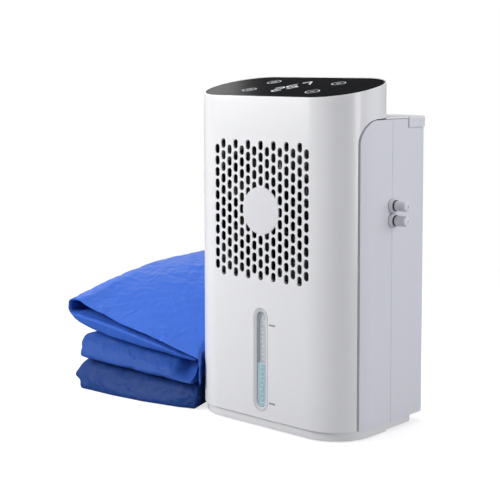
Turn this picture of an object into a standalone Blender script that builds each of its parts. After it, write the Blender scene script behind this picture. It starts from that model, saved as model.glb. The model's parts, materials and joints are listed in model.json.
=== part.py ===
"""Cooling unit of a water cooling mattress pad, with its folded pad beside it.

Metres, +Z up. The unit's front faces -Y and X runs along its front. The origin is on
the floor, under the middle of the unit.
"""

import math

import bmesh
import bpy
from mathutils import Matrix, Vector

# Clearances, overruns and counts
fit_gap = 0.0003
running_gap = 0.0004
overrun = 0.003
weld_distance = 0.000002
arc_steps = 10
round_steps = 16
fine_round_steps = 32
spigot_steps = 12

# Unit as a whole
unit_width = 0.186
head_room = 0.0403
top_rise_share = 0.189
tower_depth = 0.0850
front_radius = 0.0405
tower_rear_radius = 0.040
rear_radius = 0.006
deck_drop = 0.0192
shell_wall = 0.0026
cover_wall = 0.0024

# Base plate and feet
foot_stand = 0.001
plinth_height = 0.0078
plinth_inset = 0.0022
plinth_rear_inset = 0.0132
plinth_step_reach = 0.0645
plinth_step = 0.0013
plinth_rear_radius = 0.008
foot_radius = 0.008
foot_sink = 0.0022
foot_inset_x = 0.026
foot_inset_front = 0.022
foot_inset_rear = 0.016
rest_boss_radius = 0.005

# Groove between the front shell and the side panels
groove_reach = 0.0250
groove_width = 0.0022
groove_top_width = 0.0010
side_corner_radius = 0.0205
side_seam_reach = 0.0677
lip_wall = 0.0017
lip_reach = 0.0045
lip_root = 0.0025
lip_run = 0.0015
web_setback = 0.0004

# Grille in the front face
fan_room = 0.0186
grille_columns = 15
grille_rows = 11
grille_pitch_x = 0.0075
grille_pitch_z = 0.01047
grille_slot_width = 0.0052
grille_slot_height = 0.0085
grille_slot_steps = 3
grille_disc_radius = 0.0210

# Water window
window_rise = 0.0001
window_width = 0.0163
window_length = 0.0920
window_chamfer_depth = 0.0025
window_chamfer_width = 0.0027
window_frame_depth = 0.0046
window_flange = 0.0025
lens_thickness = 0.0020
lens_margin = 0.0014

# Control panel, its board and display
panel_rim = 0.0012
panel_thickness = 0.0020
panel_drop = 0.0002
ledge_thickness = 0.0020
ledge_opening_x = 0.050
ledge_opening_front = 0.016
ledge_opening_rear = 0.070
board_margin = 0.005
board_thickness = 0.0016
display_width = 0.060
display_front = 0.026
display_rear = 0.058
touch_radius = 0.004
touch_x = 0.0385
touch_front = 0.026
touch_rear = 0.060

# Deck plate and filler lid
deck_thickness = 0.0015
deck_front_reach = 0.0585
lid_tower_run = 0.0060
lid_run = 0.0272
lid_rise = 0.0015
lid_height = 0.0096
lid_plate = 0.0015
lid_wall = 0.0016
lid_proud = 0.0010
hinge_barrel_radius = 0.0017
hinge_knuckle_x = 0.060
hinge_knuckle_width = 0.0094
hinge_pin_radius = 0.0007
hinge_pin_length = 0.024

# Rear cover
cover_top_wall = 0.0028
louvre_count = 18
louvre_pitch = 0.0064
louvre_width = 0.0026
louvre_inner_x = 0.036
louvre_outer_x = 0.082
louvre_rise = 0.0237
board_boss_radius = 0.003

# Tank, its top, seal and filler duct
tank_inset = 0.0073
tank_height = 0.100
tank_rear_room = 0.0062
tank_rear_radius = 0.008
tank_wall = 0.0020
tank_rim = 0.0035
seal_thickness = 0.0015
tank_top_thickness = 0.0024
duct_width = 0.0580
duct_depth = 0.0150
duct_lid_run = 0.0135
duct_wall = 0.0018
duct_flange = 0.0028
duct_flange_thickness = 0.0020
drain_height = 0.0245
drain_radius = 0.0065
drain_bore_radius = 0.0045
plug_head_radius = 0.0080
plug_head_thickness = 0.0025
plug_tab_width = 0.0030
plug_tab_length = 0.0040

# Float switch
float_x = -0.045
float_reach = 0.035
float_stem_radius = 0.0022
float_stem_length = 0.070
float_flange_radius = 0.0070
float_flange_thickness = 0.0020
float_radius = 0.0090
float_height = 0.0140
float_stop_radius = 0.0045
float_stop_thickness = 0.0015

# Pump
pump_x = 0.0215
pump_base_radius = 0.0260
pump_base_height = 0.015
pump_motor_radius = 0.0155
pump_motor_height = 0.020
pump_chamber_radius = 0.014
pump_chamber_height = 0.009
pump_cover_thickness = 0.003
pump_inlet_radius = 0.005
pump_foot_radius = 0.003
pump_foot_height = 0.004
pump_foot_ring = 0.020
impeller_radius = 0.0120
impeller_plate = 0.0015
impeller_blades = 6
impeller_blade_width = 0.0012
impeller_blade_height = 0.0045
impeller_shaft_radius = 0.0015
impeller_shaft_length = 0.014

# Hoses and hose connectors
hose_radius = 0.0050
hose_bore_radius = 0.0034
hose_point_pitch = 0.0100
barb_radius = 0.0030
barb_length = 0.010
barb_bore_radius = 0.0019
connector_rise = 0.0062
connector_pitch = 0.0131
connector_neck_radius = 0.0044
connector_flange_radius = 0.0063
connector_flange_width = 0.0030
connector_barrel_radius = 0.00465
connector_length = 0.0166
connector_chamfer = 0.0010
connector_bore_radius = 0.0025
connector_valve_length = 0.0030
connector_ring_run = 0.0035
connector_ring_width = 0.0012
connector_ring_depth = 0.0004
connector_inner_flange_width = 0.0030
return_spigot_x = 0.055

# Fan
fan_size = 0.120
fan_depth = 0.025
fan_corner_radius = 0.006
fan_bore_radius = 0.058
fan_hub_radius = 0.0185
fan_base_radius = 0.0200
fan_base_thickness = 0.0035
fan_strut_width = 0.0040
fan_strut_count = 4
fan_shaft_radius = 0.0015
fan_front_room = 0.0015
fan_blades = 7
fan_blade_root_radius = 0.0160
fan_blade_tip_radius = 0.0562
fan_blade_thickness = 0.0016
fan_blade_root_chord = 0.0210
fan_blade_tip_chord = 0.0290
fan_blade_root_pitch = math.radians(50)
fan_blade_tip_pitch = math.radians(30)
fan_blade_cuts = 4

# Heat sink, cooling module and water block
sink_fin_count = 24
sink_fin_thickness = 0.0012
sink_fin_depth = 0.022
sink_base = 0.005
module_size = 0.040
module_thickness = 0.0038
block_width = 0.044
block_height = 0.080
block_depth = 0.012
clamp_width = 0.076
clamp_height = 0.016
clamp_thickness = 0.003
clamp_screw_x = 0.031
screw_radius = 0.0020
screw_head_radius = 0.0038
screw_head_height = 0.0022
screw_grip = 0.004

# Power board and power inlet
power_board_rise = 0.0137
power_board_height = 0.085
power_board_front = 0.0730
power_board_rear = 0.1100
power_board_thickness = 0.0016
power_board_standoff = 0.004
power_boss_inset = 0.006
coil_width = 0.018
coil_height = 0.022
coil_thickness = 0.014
capacitor_radius = 0.005
capacitor_length = 0.016
inlet_x = -0.062
inlet_rise = 0.0122
inlet_flange_radius = 0.0070
inlet_flange_width = 0.0012
inlet_barrel_radius = 0.0050
inlet_depth = 0.0130
inlet_bore_radius = 0.0031
inlet_bore_depth = 0.0095
inlet_pin_radius = 0.0010

# Folded pad: three bundles on top of each other, the top one longer at its left
pad_corner_x = -0.0835
pad_corner_reach = 0.001
pad_turn = math.radians(-6)
pad_length = 0.138
pad_depth = 0.245
pad_left_run = 0.033
pad_fold_draw = 0.013
pad_side_draw = 0.018
pad_low_lip_left = 0.030
pad_low_lip_right = 0.022
pad_low_lip_rise = 0.004
pad_high_lip_left = 0.060
pad_high_lip_right = 0.045
pad_high_lip_rise = 0.012
pad_top_left = 0.083
pad_top_right = 0.053
pad_top_rise_left = 0.026
pad_top_rise_right = 0.046
pad_rise_power = 2.6
pad_edge_rise = 0.004
pad_crown = 0.005
pad_levels = (
    (0.00, 0.30),
    (0.10, 0.08),
    (0.40, 0.00),
    (0.85, 0.35),
    (1.00, 0.95),
    (1.05, 0.18),
    (1.30, 0.00),
    (1.85, 0.38),
    (2.00, 1.00),
    (2.05, 0.10),
    (2.35, 0.05),
    (2.55, 0.80),
    (2.80, 0.05),
    (3.00, 0.30),
)
pad_wrap_level = 2
pad_long_side_shares = (0.05, 0.32, 0.66, 0.95)
pad_short_side_shares = (0.05, 0.28, 0.50, 0.72, 0.95)

# Worked out from the sizes above, from the floor up
half_width = unit_width / 2
lid_front_reach = tower_depth + lid_tower_run
unit_depth = lid_front_reach + lid_run
tank_rear_reach = unit_depth - tank_rear_room
plinth_rear_reach = unit_depth - plinth_rear_inset
duct_reach = lid_front_reach + duct_lid_run
front_y = -unit_depth / 2
rear_y = unit_depth / 2
plinth_top = foot_stand + plinth_height
body_bottom = plinth_top + fit_gap
tank_bottom = body_bottom + cover_wall + fit_gap
tank_rim_height = tank_bottom + tank_height
seal_low = tank_rim_height + fit_gap
tank_top_low = seal_low + seal_thickness + fit_gap
tank_top_high = tank_top_low + tank_top_thickness
window_height = (tank_bottom + tank_rim_height) / 2 + window_rise
fan_half = fan_size / 2
grille_height = tank_top_high + fan_room + fan_half
front_height = grille_height + fan_half + head_room
deck_height = front_height - deck_drop
panel_top = deck_height - fit_gap
turret_bottom = panel_top + groove_top_width
seam_y = front_y + side_seam_reach
lens_front = window_frame_depth + fit_gap

# Worked out along the cooling stack, from the front back
fan_corner_run = fan_half - (half_width - front_radius)
fan_front = front_radius - math.sqrt((front_radius - shell_wall - fit_gap) ** 2 - fan_corner_run ** 2)
fan_rear = fan_front + fan_depth
sink_front = fan_rear + fit_gap
sink_rear = sink_front + sink_fin_depth + sink_base
module_front = sink_rear + fit_gap
module_rear = module_front + module_thickness
block_front = module_rear + fit_gap
block_rear = block_front + block_depth
block_reach = block_front + block_depth / 2
block_low = grille_height - block_height / 2
block_high = grille_height + block_height / 2
clamp_front = block_rear + fit_gap
clamp_rear = clamp_front + clamp_thickness

# Worked out for the lid, the duct, the connectors, the power parts and the pump
lid_top_height = deck_height + lid_rise
hinge_y = front_y + lid_front_reach + hinge_barrel_radius
hinge_z = lid_top_height - hinge_barrel_radius
lid_skirt_low = lid_top_height - lid_height
lid_inner_x = half_width + lid_proud - lid_wall
duct_y = front_y + duct_reach
connector_upper_height = grille_height + connector_rise
connector_heights = (connector_upper_height, connector_upper_height - connector_pitch)
connector_inner_x = half_width - cover_wall - fit_gap - connector_inner_flange_width
inlet_height = tank_top_high + inlet_rise
power_board_low = tank_top_high + power_board_rise
power_board_high = power_board_low + power_board_height
pump_y = front_y + block_reach
pump_foot_low = tank_bottom + tank_wall + fit_gap
pump_cover_low = pump_foot_low + pump_foot_height
pump_low = pump_cover_low + pump_cover_thickness + fit_gap
pump_outlet_base = pump_low + pump_base_height

finishes = {
    "white_gloss": ((0.88, 0.88, 0.90), 0.25, 0.0),
    "white_satin": ((0.80, 0.81, 0.85), 0.35, 0.0),
    "grey_satin": ((0.62, 0.62, 0.63), 0.40, 0.0),
    "black_glass": ((0.01, 0.01, 0.015), 0.08, 0.0),
    "clear_lens": ((0.75, 0.86, 0.88), 0.10, 0.0),
    "milky_plastic": ((0.78, 0.82, 0.84), 0.30, 0.0),
    "dark_plastic": ((0.03, 0.03, 0.035), 0.45, 0.0),
    "grey_rubber": ((0.10, 0.10, 0.11), 0.80, 0.0),
    "clear_hose": ((0.70, 0.74, 0.76), 0.35, 0.0),
    "bare_aluminium": ((0.77, 0.78, 0.79), 0.35, 1.0),
    "bright_steel": ((0.60, 0.60, 0.62), 0.25, 1.0),
    "board_green": ((0.02, 0.14, 0.06), 0.50, 0.0),
    "ceramic_white": ((0.85, 0.85, 0.82), 0.50, 0.0),
    "display_grey": ((0.05, 0.05, 0.055), 0.30, 0.0),
    "blue_fabric": ((0.05, 0.16, 0.62), 0.55, 0.0),
}


def start_empty():
    """Empty the scene and make the two collections."""
    for old in list(bpy.data.objects):
        bpy.data.objects.remove(old, do_unlink=True)
    made = []
    for name in ("water_cooling_mattress_pad", "cutters"):
        collection = bpy.data.collections.new(name)
        bpy.context.scene.collection.children.link(collection)
        made.append(collection)
    return made


parts, cutters = start_empty()


def reach_y(reach):
    """World Y of a place that lies this far behind the unit's front plane."""
    return front_y + reach


def add_object(name, mesh, matrix, finish):
    """Link a mesh as a part with a finish, or as a hidden cutter without one."""
    obj = bpy.data.objects.new(name, mesh)
    obj.matrix_world = matrix
    if finish is None:
        cutters.objects.link(obj)
        obj.hide_render = True
        obj.display_type = "WIRE"
        return obj
    parts.objects.link(obj)
    colour, roughness, metallic = finishes[finish]
    material = bpy.data.materials.new(name + "_" + finish)
    material.use_nodes = True
    shader = material.node_tree.nodes["Principled BSDF"]
    shader.inputs["Base Color"].default_value = (*colour, 1.0)
    shader.inputs["Roughness"].default_value = roughness
    shader.inputs["Metallic"].default_value = metallic
    mesh.materials.append(material)
    return obj


def shade_round(obj):
    """Shade the round faces of a piece smooth and keep its edges."""
    obj.data.shade_smooth()
    obj.data.set_sharp_from_angle(angle=math.radians(40))
    return obj


def axis_turn(axis):
    """Rotation that lays local Z along a world axis."""
    if axis == "X":
        return Matrix.Rotation(math.radians(90), 4, "Y")
    if axis == "Y":
        return Matrix.Rotation(math.radians(-90), 4, "X")
    return Matrix.Identity(4)


def box(name, low, high, finish=None):
    """Box between two corners."""
    low = Vector(low)
    high = Vector(high)
    size = high - low
    work = bmesh.new()
    bmesh.ops.create_cube(work, size=1.0, matrix=Matrix.Diagonal((size.x, size.y, size.z, 1.0)))
    mesh = bpy.data.meshes.new(name)
    work.to_mesh(mesh)
    work.free()
    return add_object(name, mesh, Matrix.Translation((low + high) / 2), finish)


def cylinder(name, base, radius, length, axis, finish=None, steps=round_steps):
    """Cylinder that starts at base and runs along +X, +Y or +Z."""
    work = bmesh.new()
    lift = Matrix.Translation((0, 0, length / 2))
    bmesh.ops.create_cone(
        work, cap_ends=True, segments=steps, radius1=radius, radius2=radius, depth=length, matrix=lift
    )
    mesh = bpy.data.meshes.new(name)
    work.to_mesh(mesh)
    work.free()
    return shade_round(add_object(name, mesh, Matrix.Translation(base) @ axis_turn(axis), finish))


def curve_mesh(name, curve):
    """Mesh of a curve with its caps welded and its faces pointing out."""
    guide = bpy.data.objects.new(name, curve)
    cutters.objects.link(guide)
    bpy.context.view_layer.update()
    evaluated = guide.evaluated_get(bpy.context.evaluated_depsgraph_get())
    mesh = bpy.data.meshes.new_from_object(evaluated)
    bpy.data.objects.remove(guide, do_unlink=True)
    mesh.materials.clear()
    work = bmesh.new()
    work.from_mesh(mesh)
    bmesh.ops.remove_doubles(work, verts=work.verts, dist=weld_distance)
    bmesh.ops.recalc_face_normals(work, faces=work.faces)
    work.to_mesh(mesh)
    work.free()
    return mesh


def prism(name, loops, low, high, axis="Z", finish=None):
    """Flat outlines, the first with the rest as holes, extruded along an axis.

    Outlines are (x, y) for Z, (x, z) for Y and (y, z) for X.
    """
    curve = bpy.data.curves.new(name, "CURVE")
    curve.dimensions = "2D"
    curve.fill_mode = "BOTH"
    curve.extrude = (high - low) / 2
    for loop in loops:
        spline = curve.splines.new("POLY")
        spline.points.add(len(loop) - 1)
        for point, (across, up) in zip(spline.points, loop):
            point.co = (across, up, 0, 1)
        spline.use_cyclic_u = True
    mesh = curve_mesh(name, curve)
    middle = (low + high) / 2
    if axis == "X":
        mesh.transform(Matrix(((0, 0, 1, 0), (1, 0, 0, 0), (0, 1, 0, 0), (0, 0, 0, 1))))
        place = (middle, 0, 0)
    elif axis == "Y":
        mesh.transform(Matrix(((1, 0, 0, 0), (0, 0, 1, 0), (0, 1, 0, 0), (0, 0, 0, 1))))
        mesh.flip_normals()
        place = (0, middle, 0)
    else:
        place = (0, 0, middle)
    return shade_round(add_object(name, mesh, Matrix.Translation(place), finish))


def turned(name, profile, base, axis, finish=None, steps=round_steps, closed=False):
    """Profile of (radius, height) pairs, from the top down its outer side, turned."""
    count = len(profile)
    edges = [(i, i + 1) for i in range(count - 1)]
    if closed:
        edges.append((count - 1, 0))
    mesh = bpy.data.meshes.new(name)
    mesh.from_pydata([(radius, 0, height) for radius, height in profile], edges, [])
    obj = add_object(name, mesh, Matrix.Translation(base) @ axis_turn(axis), finish)
    screw = obj.modifiers.new("turn", "SCREW")
    screw.axis = "Z"
    screw.steps = steps
    screw.render_steps = steps
    screw.use_merge_vertices = True
    screw.merge_threshold = weld_distance
    screw.use_smooth_shade = True
    return obj


def smooth_route(points, pitch):
    """Points along a smooth curve through the given ones, about one pitch apart."""
    points = [Vector(point) for point in points]
    ends = [2 * points[0] - points[1]] + points + [2 * points[-1] - points[-2]]
    route = []
    for before, start, end, after in zip(ends, ends[1:], ends[2:], ends[3:]):
        count = max(1, round((end - start).length / pitch))
        for step in range(count):
            t = step / count
            spread = (2 * before - 5 * start + 4 * end - after) * t ** 2
            bend = (3 * start - before - 3 * end + after) * t ** 3
            route.append((2 * start + (end - before) * t + spread + bend) / 2)
    route.append(points[-1])
    return route


def tube(name, route, radius, finish=None, resolution=2):
    """Round tube along a route, with filled ends."""
    curve = bpy.data.curves.new(name, "CURVE")
    curve.dimensions = "3D"
    curve.bevel_depth = radius
    curve.bevel_resolution = resolution
    curve.use_fill_caps = True
    spline = curve.splines.new("POLY")
    spline.points.add(len(route) - 1)
    for point, place in zip(spline.points, route):
        point.co = (*place, 1)
    return shade_round(add_object(name, curve_mesh(name, curve), Matrix.Identity(4), finish))


def combine(target, operation, others):
    """Cut, join or intersect a piece with others, as exact Boolean modifiers."""
    for other in others:
        modifier = target.modifiers.new(other.name, "BOOLEAN")
        modifier.object = other
        modifier.operation = operation
        modifier.solver = "EXACT"
    return target


def cut(target, *others):
    return combine(target, "DIFFERENCE", others)


def join(target, *others):
    return combine(target, "UNION", others)


def keep(target, *others):
    return combine(target, "INTERSECT", others)


def shear_top(obj, above):
    """Raise what lies above a height by the slope of the unit's top."""
    for vertex in obj.data.vertices:
        place = obj.matrix_world @ vertex.co
        if place.z > above:
            vertex.co.z += top_rise_share * (place.y - front_y)
    return obj


def arc(centre, radius, start, end, steps):
    """Points of a round corner, from start to end in degrees."""
    points = []
    for step in range(steps + 1):
        angle = math.radians(start + (end - start) * step / steps)
        points.append((centre[0] + radius * math.cos(angle), centre[1] + radius * math.sin(angle)))
    return points


def plan_outline(inset, rear, rear_corner, front=front_y, steps=arc_steps):
    """Outline in plan of the unit, moved inwards, with its round front corners."""
    x = half_width - inset
    near = front + inset
    corner = front_radius - inset
    points = arc((x - corner, near + corner), corner, -90, 0, steps)
    points += arc((x - rear_corner, rear - rear_corner), rear_corner, 0, 90, steps)
    points += arc((rear_corner - x, rear - rear_corner), rear_corner, 90, 180, steps)
    points += arc((corner - x, near + corner), corner, 180, 270, steps)
    return points


def tower_outline(inset):
    """Outline in plan of the front tower, whose rear corners are round too."""
    return plan_outline(inset, reach_y(tower_depth) - inset, tower_rear_radius - inset)


def stadium(centre, width, height, steps):
    """Upright slot with round ends."""
    radius = width / 2
    rise = height / 2 - radius
    upper = arc((centre[0], centre[1] + rise), radius, 0, 180, steps)
    lower = arc((centre[0], centre[1] - rise), radius, 180, 360, steps)
    return upper + lower


def rectangle(low, high):
    return [(low[0], low[1]), (high[0], low[1]), (high[0], high[1]), (low[0], high[1])]


def corner_profile(front, top, radius, end, bottom):
    """Side view of a panel with a round upper front corner."""
    points = [(end, bottom), (end, top)]
    points += arc((front + radius, top - radius), radius, 90, 180, arc_steps)
    points.append((front, bottom))
    return points


def corner_band(front, top, radius, width, end, bottom):
    """Side view of a band of one width along that panel's front and top edges."""
    points = [(end, top - width), (end, top)]
    points += arc((front + radius, top - radius), radius, 90, 180, arc_steps)
    points += [(front, bottom), (front + width, bottom)]
    points += arc((front + radius, top - radius), radius - width, 180, 90, arc_steps)
    return points


def front_shell():
    """Tower with its grille, window slot, side openings and panel seat."""
    shell = prism("front_shell", [tower_outline(0)], body_bottom, front_height, finish="white_gloss")
    shear_top(shell, body_bottom + overrun)
    seat_drop = panel_drop + panel_thickness + fit_gap
    cavity_top = front_height - seat_drop - ledge_thickness
    cavity = prism("shell_cavity", [tower_outline(shell_wall)], body_bottom - overrun, cavity_top)
    shear_top(cavity, body_bottom + overrun)
    seat = prism(
        "panel_seat", [tower_outline(panel_rim)], front_height - seat_drop, front_height + overrun
    )
    shear_top(seat, body_bottom)
    opening = rectangle(
        (-ledge_opening_x, reach_y(ledge_opening_front)), (ledge_opening_x, reach_y(ledge_opening_rear))
    )
    window = prism("ledge_opening", [opening], cavity_top - overrun, front_height)
    shear_top(window, body_bottom)
    sides = prism(
        "side_opening",
        [
            corner_profile(
                reach_y(groove_reach) - groove_width / 2,
                turret_bottom,
                side_corner_radius + groove_top_width,
                rear_y + overrun,
                body_bottom - overrun,
            )
        ],
        -half_width - overrun,
        half_width + overrun,
        axis="X",
    )
    slot = prism(
        "window_slot",
        [
            stadium(
                (0, window_height), window_width + 2 * fit_gap, window_length + 2 * fit_gap, arc_steps
            )
        ],
        front_y - overrun,
        front_y + shell_wall + overrun,
        axis="Y",
    )
    return cut(shell, cavity, seat, window, sides, grille_slots(), slot)


def grille_slots():
    """Staggered slots, without what the plain disc in the middle covers."""
    loops = []
    for column in range(grille_columns):
        rows = grille_rows + column % 2
        x = (column - (grille_columns - 1) / 2) * grille_pitch_x
        for row in range(rows):
            z = grille_height + (row - (rows - 1) / 2) * grille_pitch_z
            apart = math.hypot(x, z - grille_height)
            if apart > grille_disc_radius - grille_slot_height / 2:
                loops.append(stadium((x, z), grille_slot_width, grille_slot_height, grille_slot_steps))
    slots = prism(
        "grille_slots", loops, front_y - overrun, front_y + 2 * shell_wall + overrun, axis="Y"
    )
    disc = cylinder(
        "grille_disc",
        (0, front_y - 2 * overrun, grille_height),
        grille_disc_radius,
        2 * shell_wall + 4 * overrun,
        "Y",
        steps=fine_round_steps,
    )
    return cut(slots, disc)


def window_parts():
    """Chamfered frame of the water window and the lens behind it."""
    centre = (0, window_height)
    frame = prism(
        "window_bezel",
        [stadium(centre, window_width, window_length, arc_steps)],
        front_y,
        reach_y(window_frame_depth),
        axis="Y",
        finish="grey_satin",
    )
    flange = prism(
        "bezel_flange",
        [
            stadium(
                centre, window_width + 2 * window_flange, window_length + 2 * window_flange, arc_steps
            )
        ],
        reach_y(shell_wall + fit_gap),
        reach_y(window_frame_depth),
        axis="Y",
    )
    narrow = window_width - 2 * window_chamfer_width
    low = window_length - 2 * window_chamfer_width
    bore = prism(
        "bezel_bore",
        [stadium(centre, narrow, low, arc_steps)],
        front_y - overrun,
        reach_y(window_frame_depth) + overrun,
        axis="Y",
    )
    chamfer = prism(
        "bezel_chamfer",
        [stadium(centre, window_width, window_length, arc_steps)],
        front_y,
        reach_y(window_chamfer_depth),
        axis="Y",
    )
    spread_front(chamfer, centre, window_chamfer_width, window_chamfer_depth)
    cut(join(frame, flange), bore, chamfer)
    prism(
        "window_lens",
        [stadium(centre, narrow + 2 * lens_margin, low + 2 * lens_margin, arc_steps)],
        reach_y(lens_front),
        reach_y(lens_front + lens_thickness),
        axis="Y",
        finish="clear_lens",
    )


def spread_front(obj, centre, width, depth):
    """Give a slot-shaped cutter sloping sides that pass through the front plane's edge."""
    radius = window_width / 2
    rise = window_length / 2 - radius
    for vertex in obj.data.vertices:
        place = obj.matrix_world @ vertex.co
        above = place.z - centre[1]
        middle = centre[1] + max(-rise, min(rise, above))
        ahead = place.y < front_y + depth / 2
        out = Vector((place.x - centre[0], 0, place.z - middle)).normalized()
        grow = width * overrun / depth if ahead else -width
        vertex.co += out * grow
        if ahead:
            vertex.co.y -= overrun
    return obj


def panel_parts():
    """Sloping black panel, the board under it and the display between them."""
    high = front_height - panel_drop
    panel = prism(
        "control_panel",
        [tower_outline(panel_rim + fit_gap)],
        high - panel_thickness,
        high,
        finish="black_glass",
    )
    shear_top(panel, body_bottom)
    seat_drop = panel_drop + panel_thickness + fit_gap
    board_high = front_height - seat_drop - ledge_thickness - fit_gap
    display = prism(
        "display_module",
        [
            rectangle(
                (-display_width / 2, reach_y(display_front)), (display_width / 2, reach_y(display_rear))
            )
        ],
        board_high + fit_gap,
        front_height - seat_drop,
        finish="display_grey",
    )
    shear_top(display, body_bottom)
    board_x = ledge_opening_x + board_margin
    board = prism(
        "control_board",
        [
            rectangle(
                (-board_x, reach_y(ledge_opening_front - board_margin)),
                (board_x, reach_y(ledge_opening_rear + board_margin)),
            )
        ],
        board_high - board_thickness,
        board_high,
        finish="board_green",
    )
    shear_top(board, body_bottom)
    for side in (-1, 1):
        for reach in (touch_front, touch_rear):
            rise = top_rise_share * reach
            spring = cylinder(
                "touch_spring_" + str(len(board.modifiers)),
                (side * touch_x, reach_y(reach), board_high - board_thickness / 2 + rise),
                touch_radius,
                front_height - seat_drop - touch_radius * top_rise_share - board_high
                + board_thickness / 2,
                "Z",
                steps=arc_steps,
            )
            join(board, spring)


def side_panel(name, side):
    """Side panel with its returned lip behind the groove."""
    front = reach_y(groove_reach) + groove_width / 2
    end = seam_y - fit_gap / 2
    lip_end = front + side_corner_radius + lip_run
    near = side * (half_width - front_radius)
    far = side * (half_width + overrun)
    low_x = min(near, far)
    high_x = max(near, far)
    rear_inset = reach_y(tower_depth)
    skin = prism(
        name,
        [plan_outline(0, rear_y, rear_radius), plan_outline(cover_wall, rear_y - cover_wall, rear_radius)],
        body_bottom,
        panel_top,
        finish="white_satin",
    )
    view = prism(
        name + "_view",
        [corner_profile(front, panel_top, side_corner_radius, end, body_bottom - overrun)],
        low_x,
        high_x,
        axis="X",
    )
    keep(skin, view)
    lip_gap = shell_wall + fit_gap
    lip = prism(
        name + "_lip",
        [
            plan_outline(lip_gap, rear_inset, rear_radius),
            plan_outline(lip_gap + lip_wall, rear_inset - lip_wall, rear_radius),
        ],
        body_bottom,
        panel_top + lip_reach,
    )
    lip_band = prism(
        name + "_lip_band",
        [
            corner_band(
                front - lip_reach,
                panel_top + lip_reach,
                side_corner_radius + lip_reach,
                lip_reach + lip_root,
                lip_end,
                body_bottom - overrun,
            )
        ],
        low_x,
        high_x,
        axis="X",
    )
    keep(lip, lip_band)
    web = prism(
        name + "_web",
        [
            plan_outline(cover_wall / 2, rear_inset, rear_radius),
            plan_outline(lip_gap + lip_wall / 2, rear_inset - lip_wall, rear_radius),
        ],
        body_bottom + web_setback,
        panel_top,
    )
    web_band = prism(
        name + "_web_band",
        [
            corner_band(
                front + web_setback,
                panel_top - web_setback,
                side_corner_radius - web_setback,
                lip_root - 2 * web_setback,
                lip_end - lip_run / 2,
                body_bottom - overrun,
            )
        ],
        low_x,
        high_x,
        axis="X",
    )
    keep(web, web_band)
    join(skin, web, lip)
    if side > 0:
        cut(skin, *connector_holes(name))
    return skin


def connector_holes(name):
    """Round holes for the connectors' necks, centred on the side seam."""
    return [
        cylinder(
            name + "_connector_hole_" + str(index),
            (half_width - cover_wall - overrun, seam_y, height),
            connector_neck_radius + fit_gap,
            cover_wall + 2 * overrun,
            "X",
        )
        for index, height in enumerate(connector_heights)
    ]


def rear_outline(inset, front):
    """Plan of the rear cover, open towards the front, with round rear corners."""
    x = half_width - inset
    rear = rear_y - inset
    corner = rear_radius - inset
    points = [(-x, front), (x, front)]
    points += arc((x - corner, rear - corner), corner, 0, 90, arc_steps // 2)
    points += arc((corner - x, rear - corner), corner, 90, 180, arc_steps // 2)
    return points


def rear_cover():
    """Rear cover with louvres, filler hole, lid rebate, hinge knuckles and bosses."""
    front = seam_y + fit_gap / 2
    cover = prism("rear_cover", [rear_outline(0, front)], body_bottom, panel_top, finish="white_satin")
    cavity = prism(
        "cover_cavity",
        [rear_outline(cover_wall, front - overrun)],
        body_bottom + cover_wall,
        panel_top - cover_top_wall,
    )
    rebate_front = reach_y(lid_front_reach) - running_gap
    rebate_inset = lid_wall - lid_proud + running_gap
    rebate = prism(
        "lid_rebate",
        [
            rear_outline(-lid_proud - overrun, rebate_front),
            rear_outline(rebate_inset, rebate_front + overrun),
        ],
        lid_skirt_low - 2 * running_gap,
        lid_top_height + overrun,
    )
    core = prism(
        "lid_rebate_core",
        [rear_outline(rebate_inset, rebate_front - overrun)],
        lid_skirt_low - overrun,
        lid_top_height + 2 * overrun,
    )
    cut(rebate, core)
    channel = box(
        "hinge_channel",
        (-half_width - overrun, rebate_front, hinge_z - hinge_barrel_radius - running_gap),
        (half_width + overrun, hinge_y + hinge_barrel_radius + running_gap, lid_top_height),
    )
    filler = filler_bore("filler_hole", panel_top - cover_top_wall - overrun, lid_top_height)
    cut(cover, cavity, rebate, channel, filler)
    for side in (-1, 1):
        x = side * hinge_knuckle_x
        low_x = x - hinge_knuckle_width / 2
        foot_low = panel_top - cover_top_wall + fit_gap
        knuckle = cylinder(
            "knuckle_" + str(side),
            (low_x, hinge_y, hinge_z),
            hinge_barrel_radius,
            hinge_knuckle_width,
            "X",
        )
        foot = box(
            "knuckle_foot_" + str(side),
            (low_x, hinge_y - hinge_barrel_radius, foot_low),
            (low_x + hinge_knuckle_width, hinge_y + hinge_barrel_radius, hinge_z),
        )
        join(cover, foot, knuckle)
        cut(cover, pin_bore("cover_pin_bore_" + str(side), x))
    cut(cover, louvre_slots(), *connector_holes("rear_cover"), *cover_ports())
    for index, (reach, height) in enumerate(board_boss_places()):
        boss = cylinder(
            "board_boss_" + str(index),
            (-half_width + cover_wall / 2, reach_y(reach), height),
            board_boss_radius,
            cover_wall / 2 + power_board_standoff,
            "X",
            steps=arc_steps,
        )
        join(cover, boss)
    return cover


def filler_bore(name, low, high):
    """Square way of the water through the cover, the duct and the tank top."""
    half_x = duct_width / 2 - duct_wall
    half_y = duct_depth / 2 - duct_wall
    return box(name, (-half_x, duct_y - half_y, low), (half_x, duct_y + half_y, high))


def pin_bore(name, x):
    """Bore round a hinge pin, a little longer than the pin."""
    return cylinder(
        name,
        (x - hinge_pin_length / 2 - fit_gap, hinge_y, hinge_z),
        hinge_pin_radius + fit_gap,
        hinge_pin_length + 2 * fit_gap,
        "X",
        steps=arc_steps,
    )


def louvre_slots():
    """Two columns of level air slots in the rear wall."""
    loops = []
    for side in (-1, 1):
        low_x = min(side * louvre_inner_x, side * louvre_outer_x)
        high_x = max(side * louvre_inner_x, side * louvre_outer_x)
        for row in range(louvre_count):
            z = tank_top_high + louvre_rise + row * louvre_pitch
            loops.append(rectangle((low_x, z), (high_x, z + louvre_width)))
    return prism("louvre_slots", loops, rear_y - cover_wall - overrun, rear_y + overrun, axis="Y")


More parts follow.
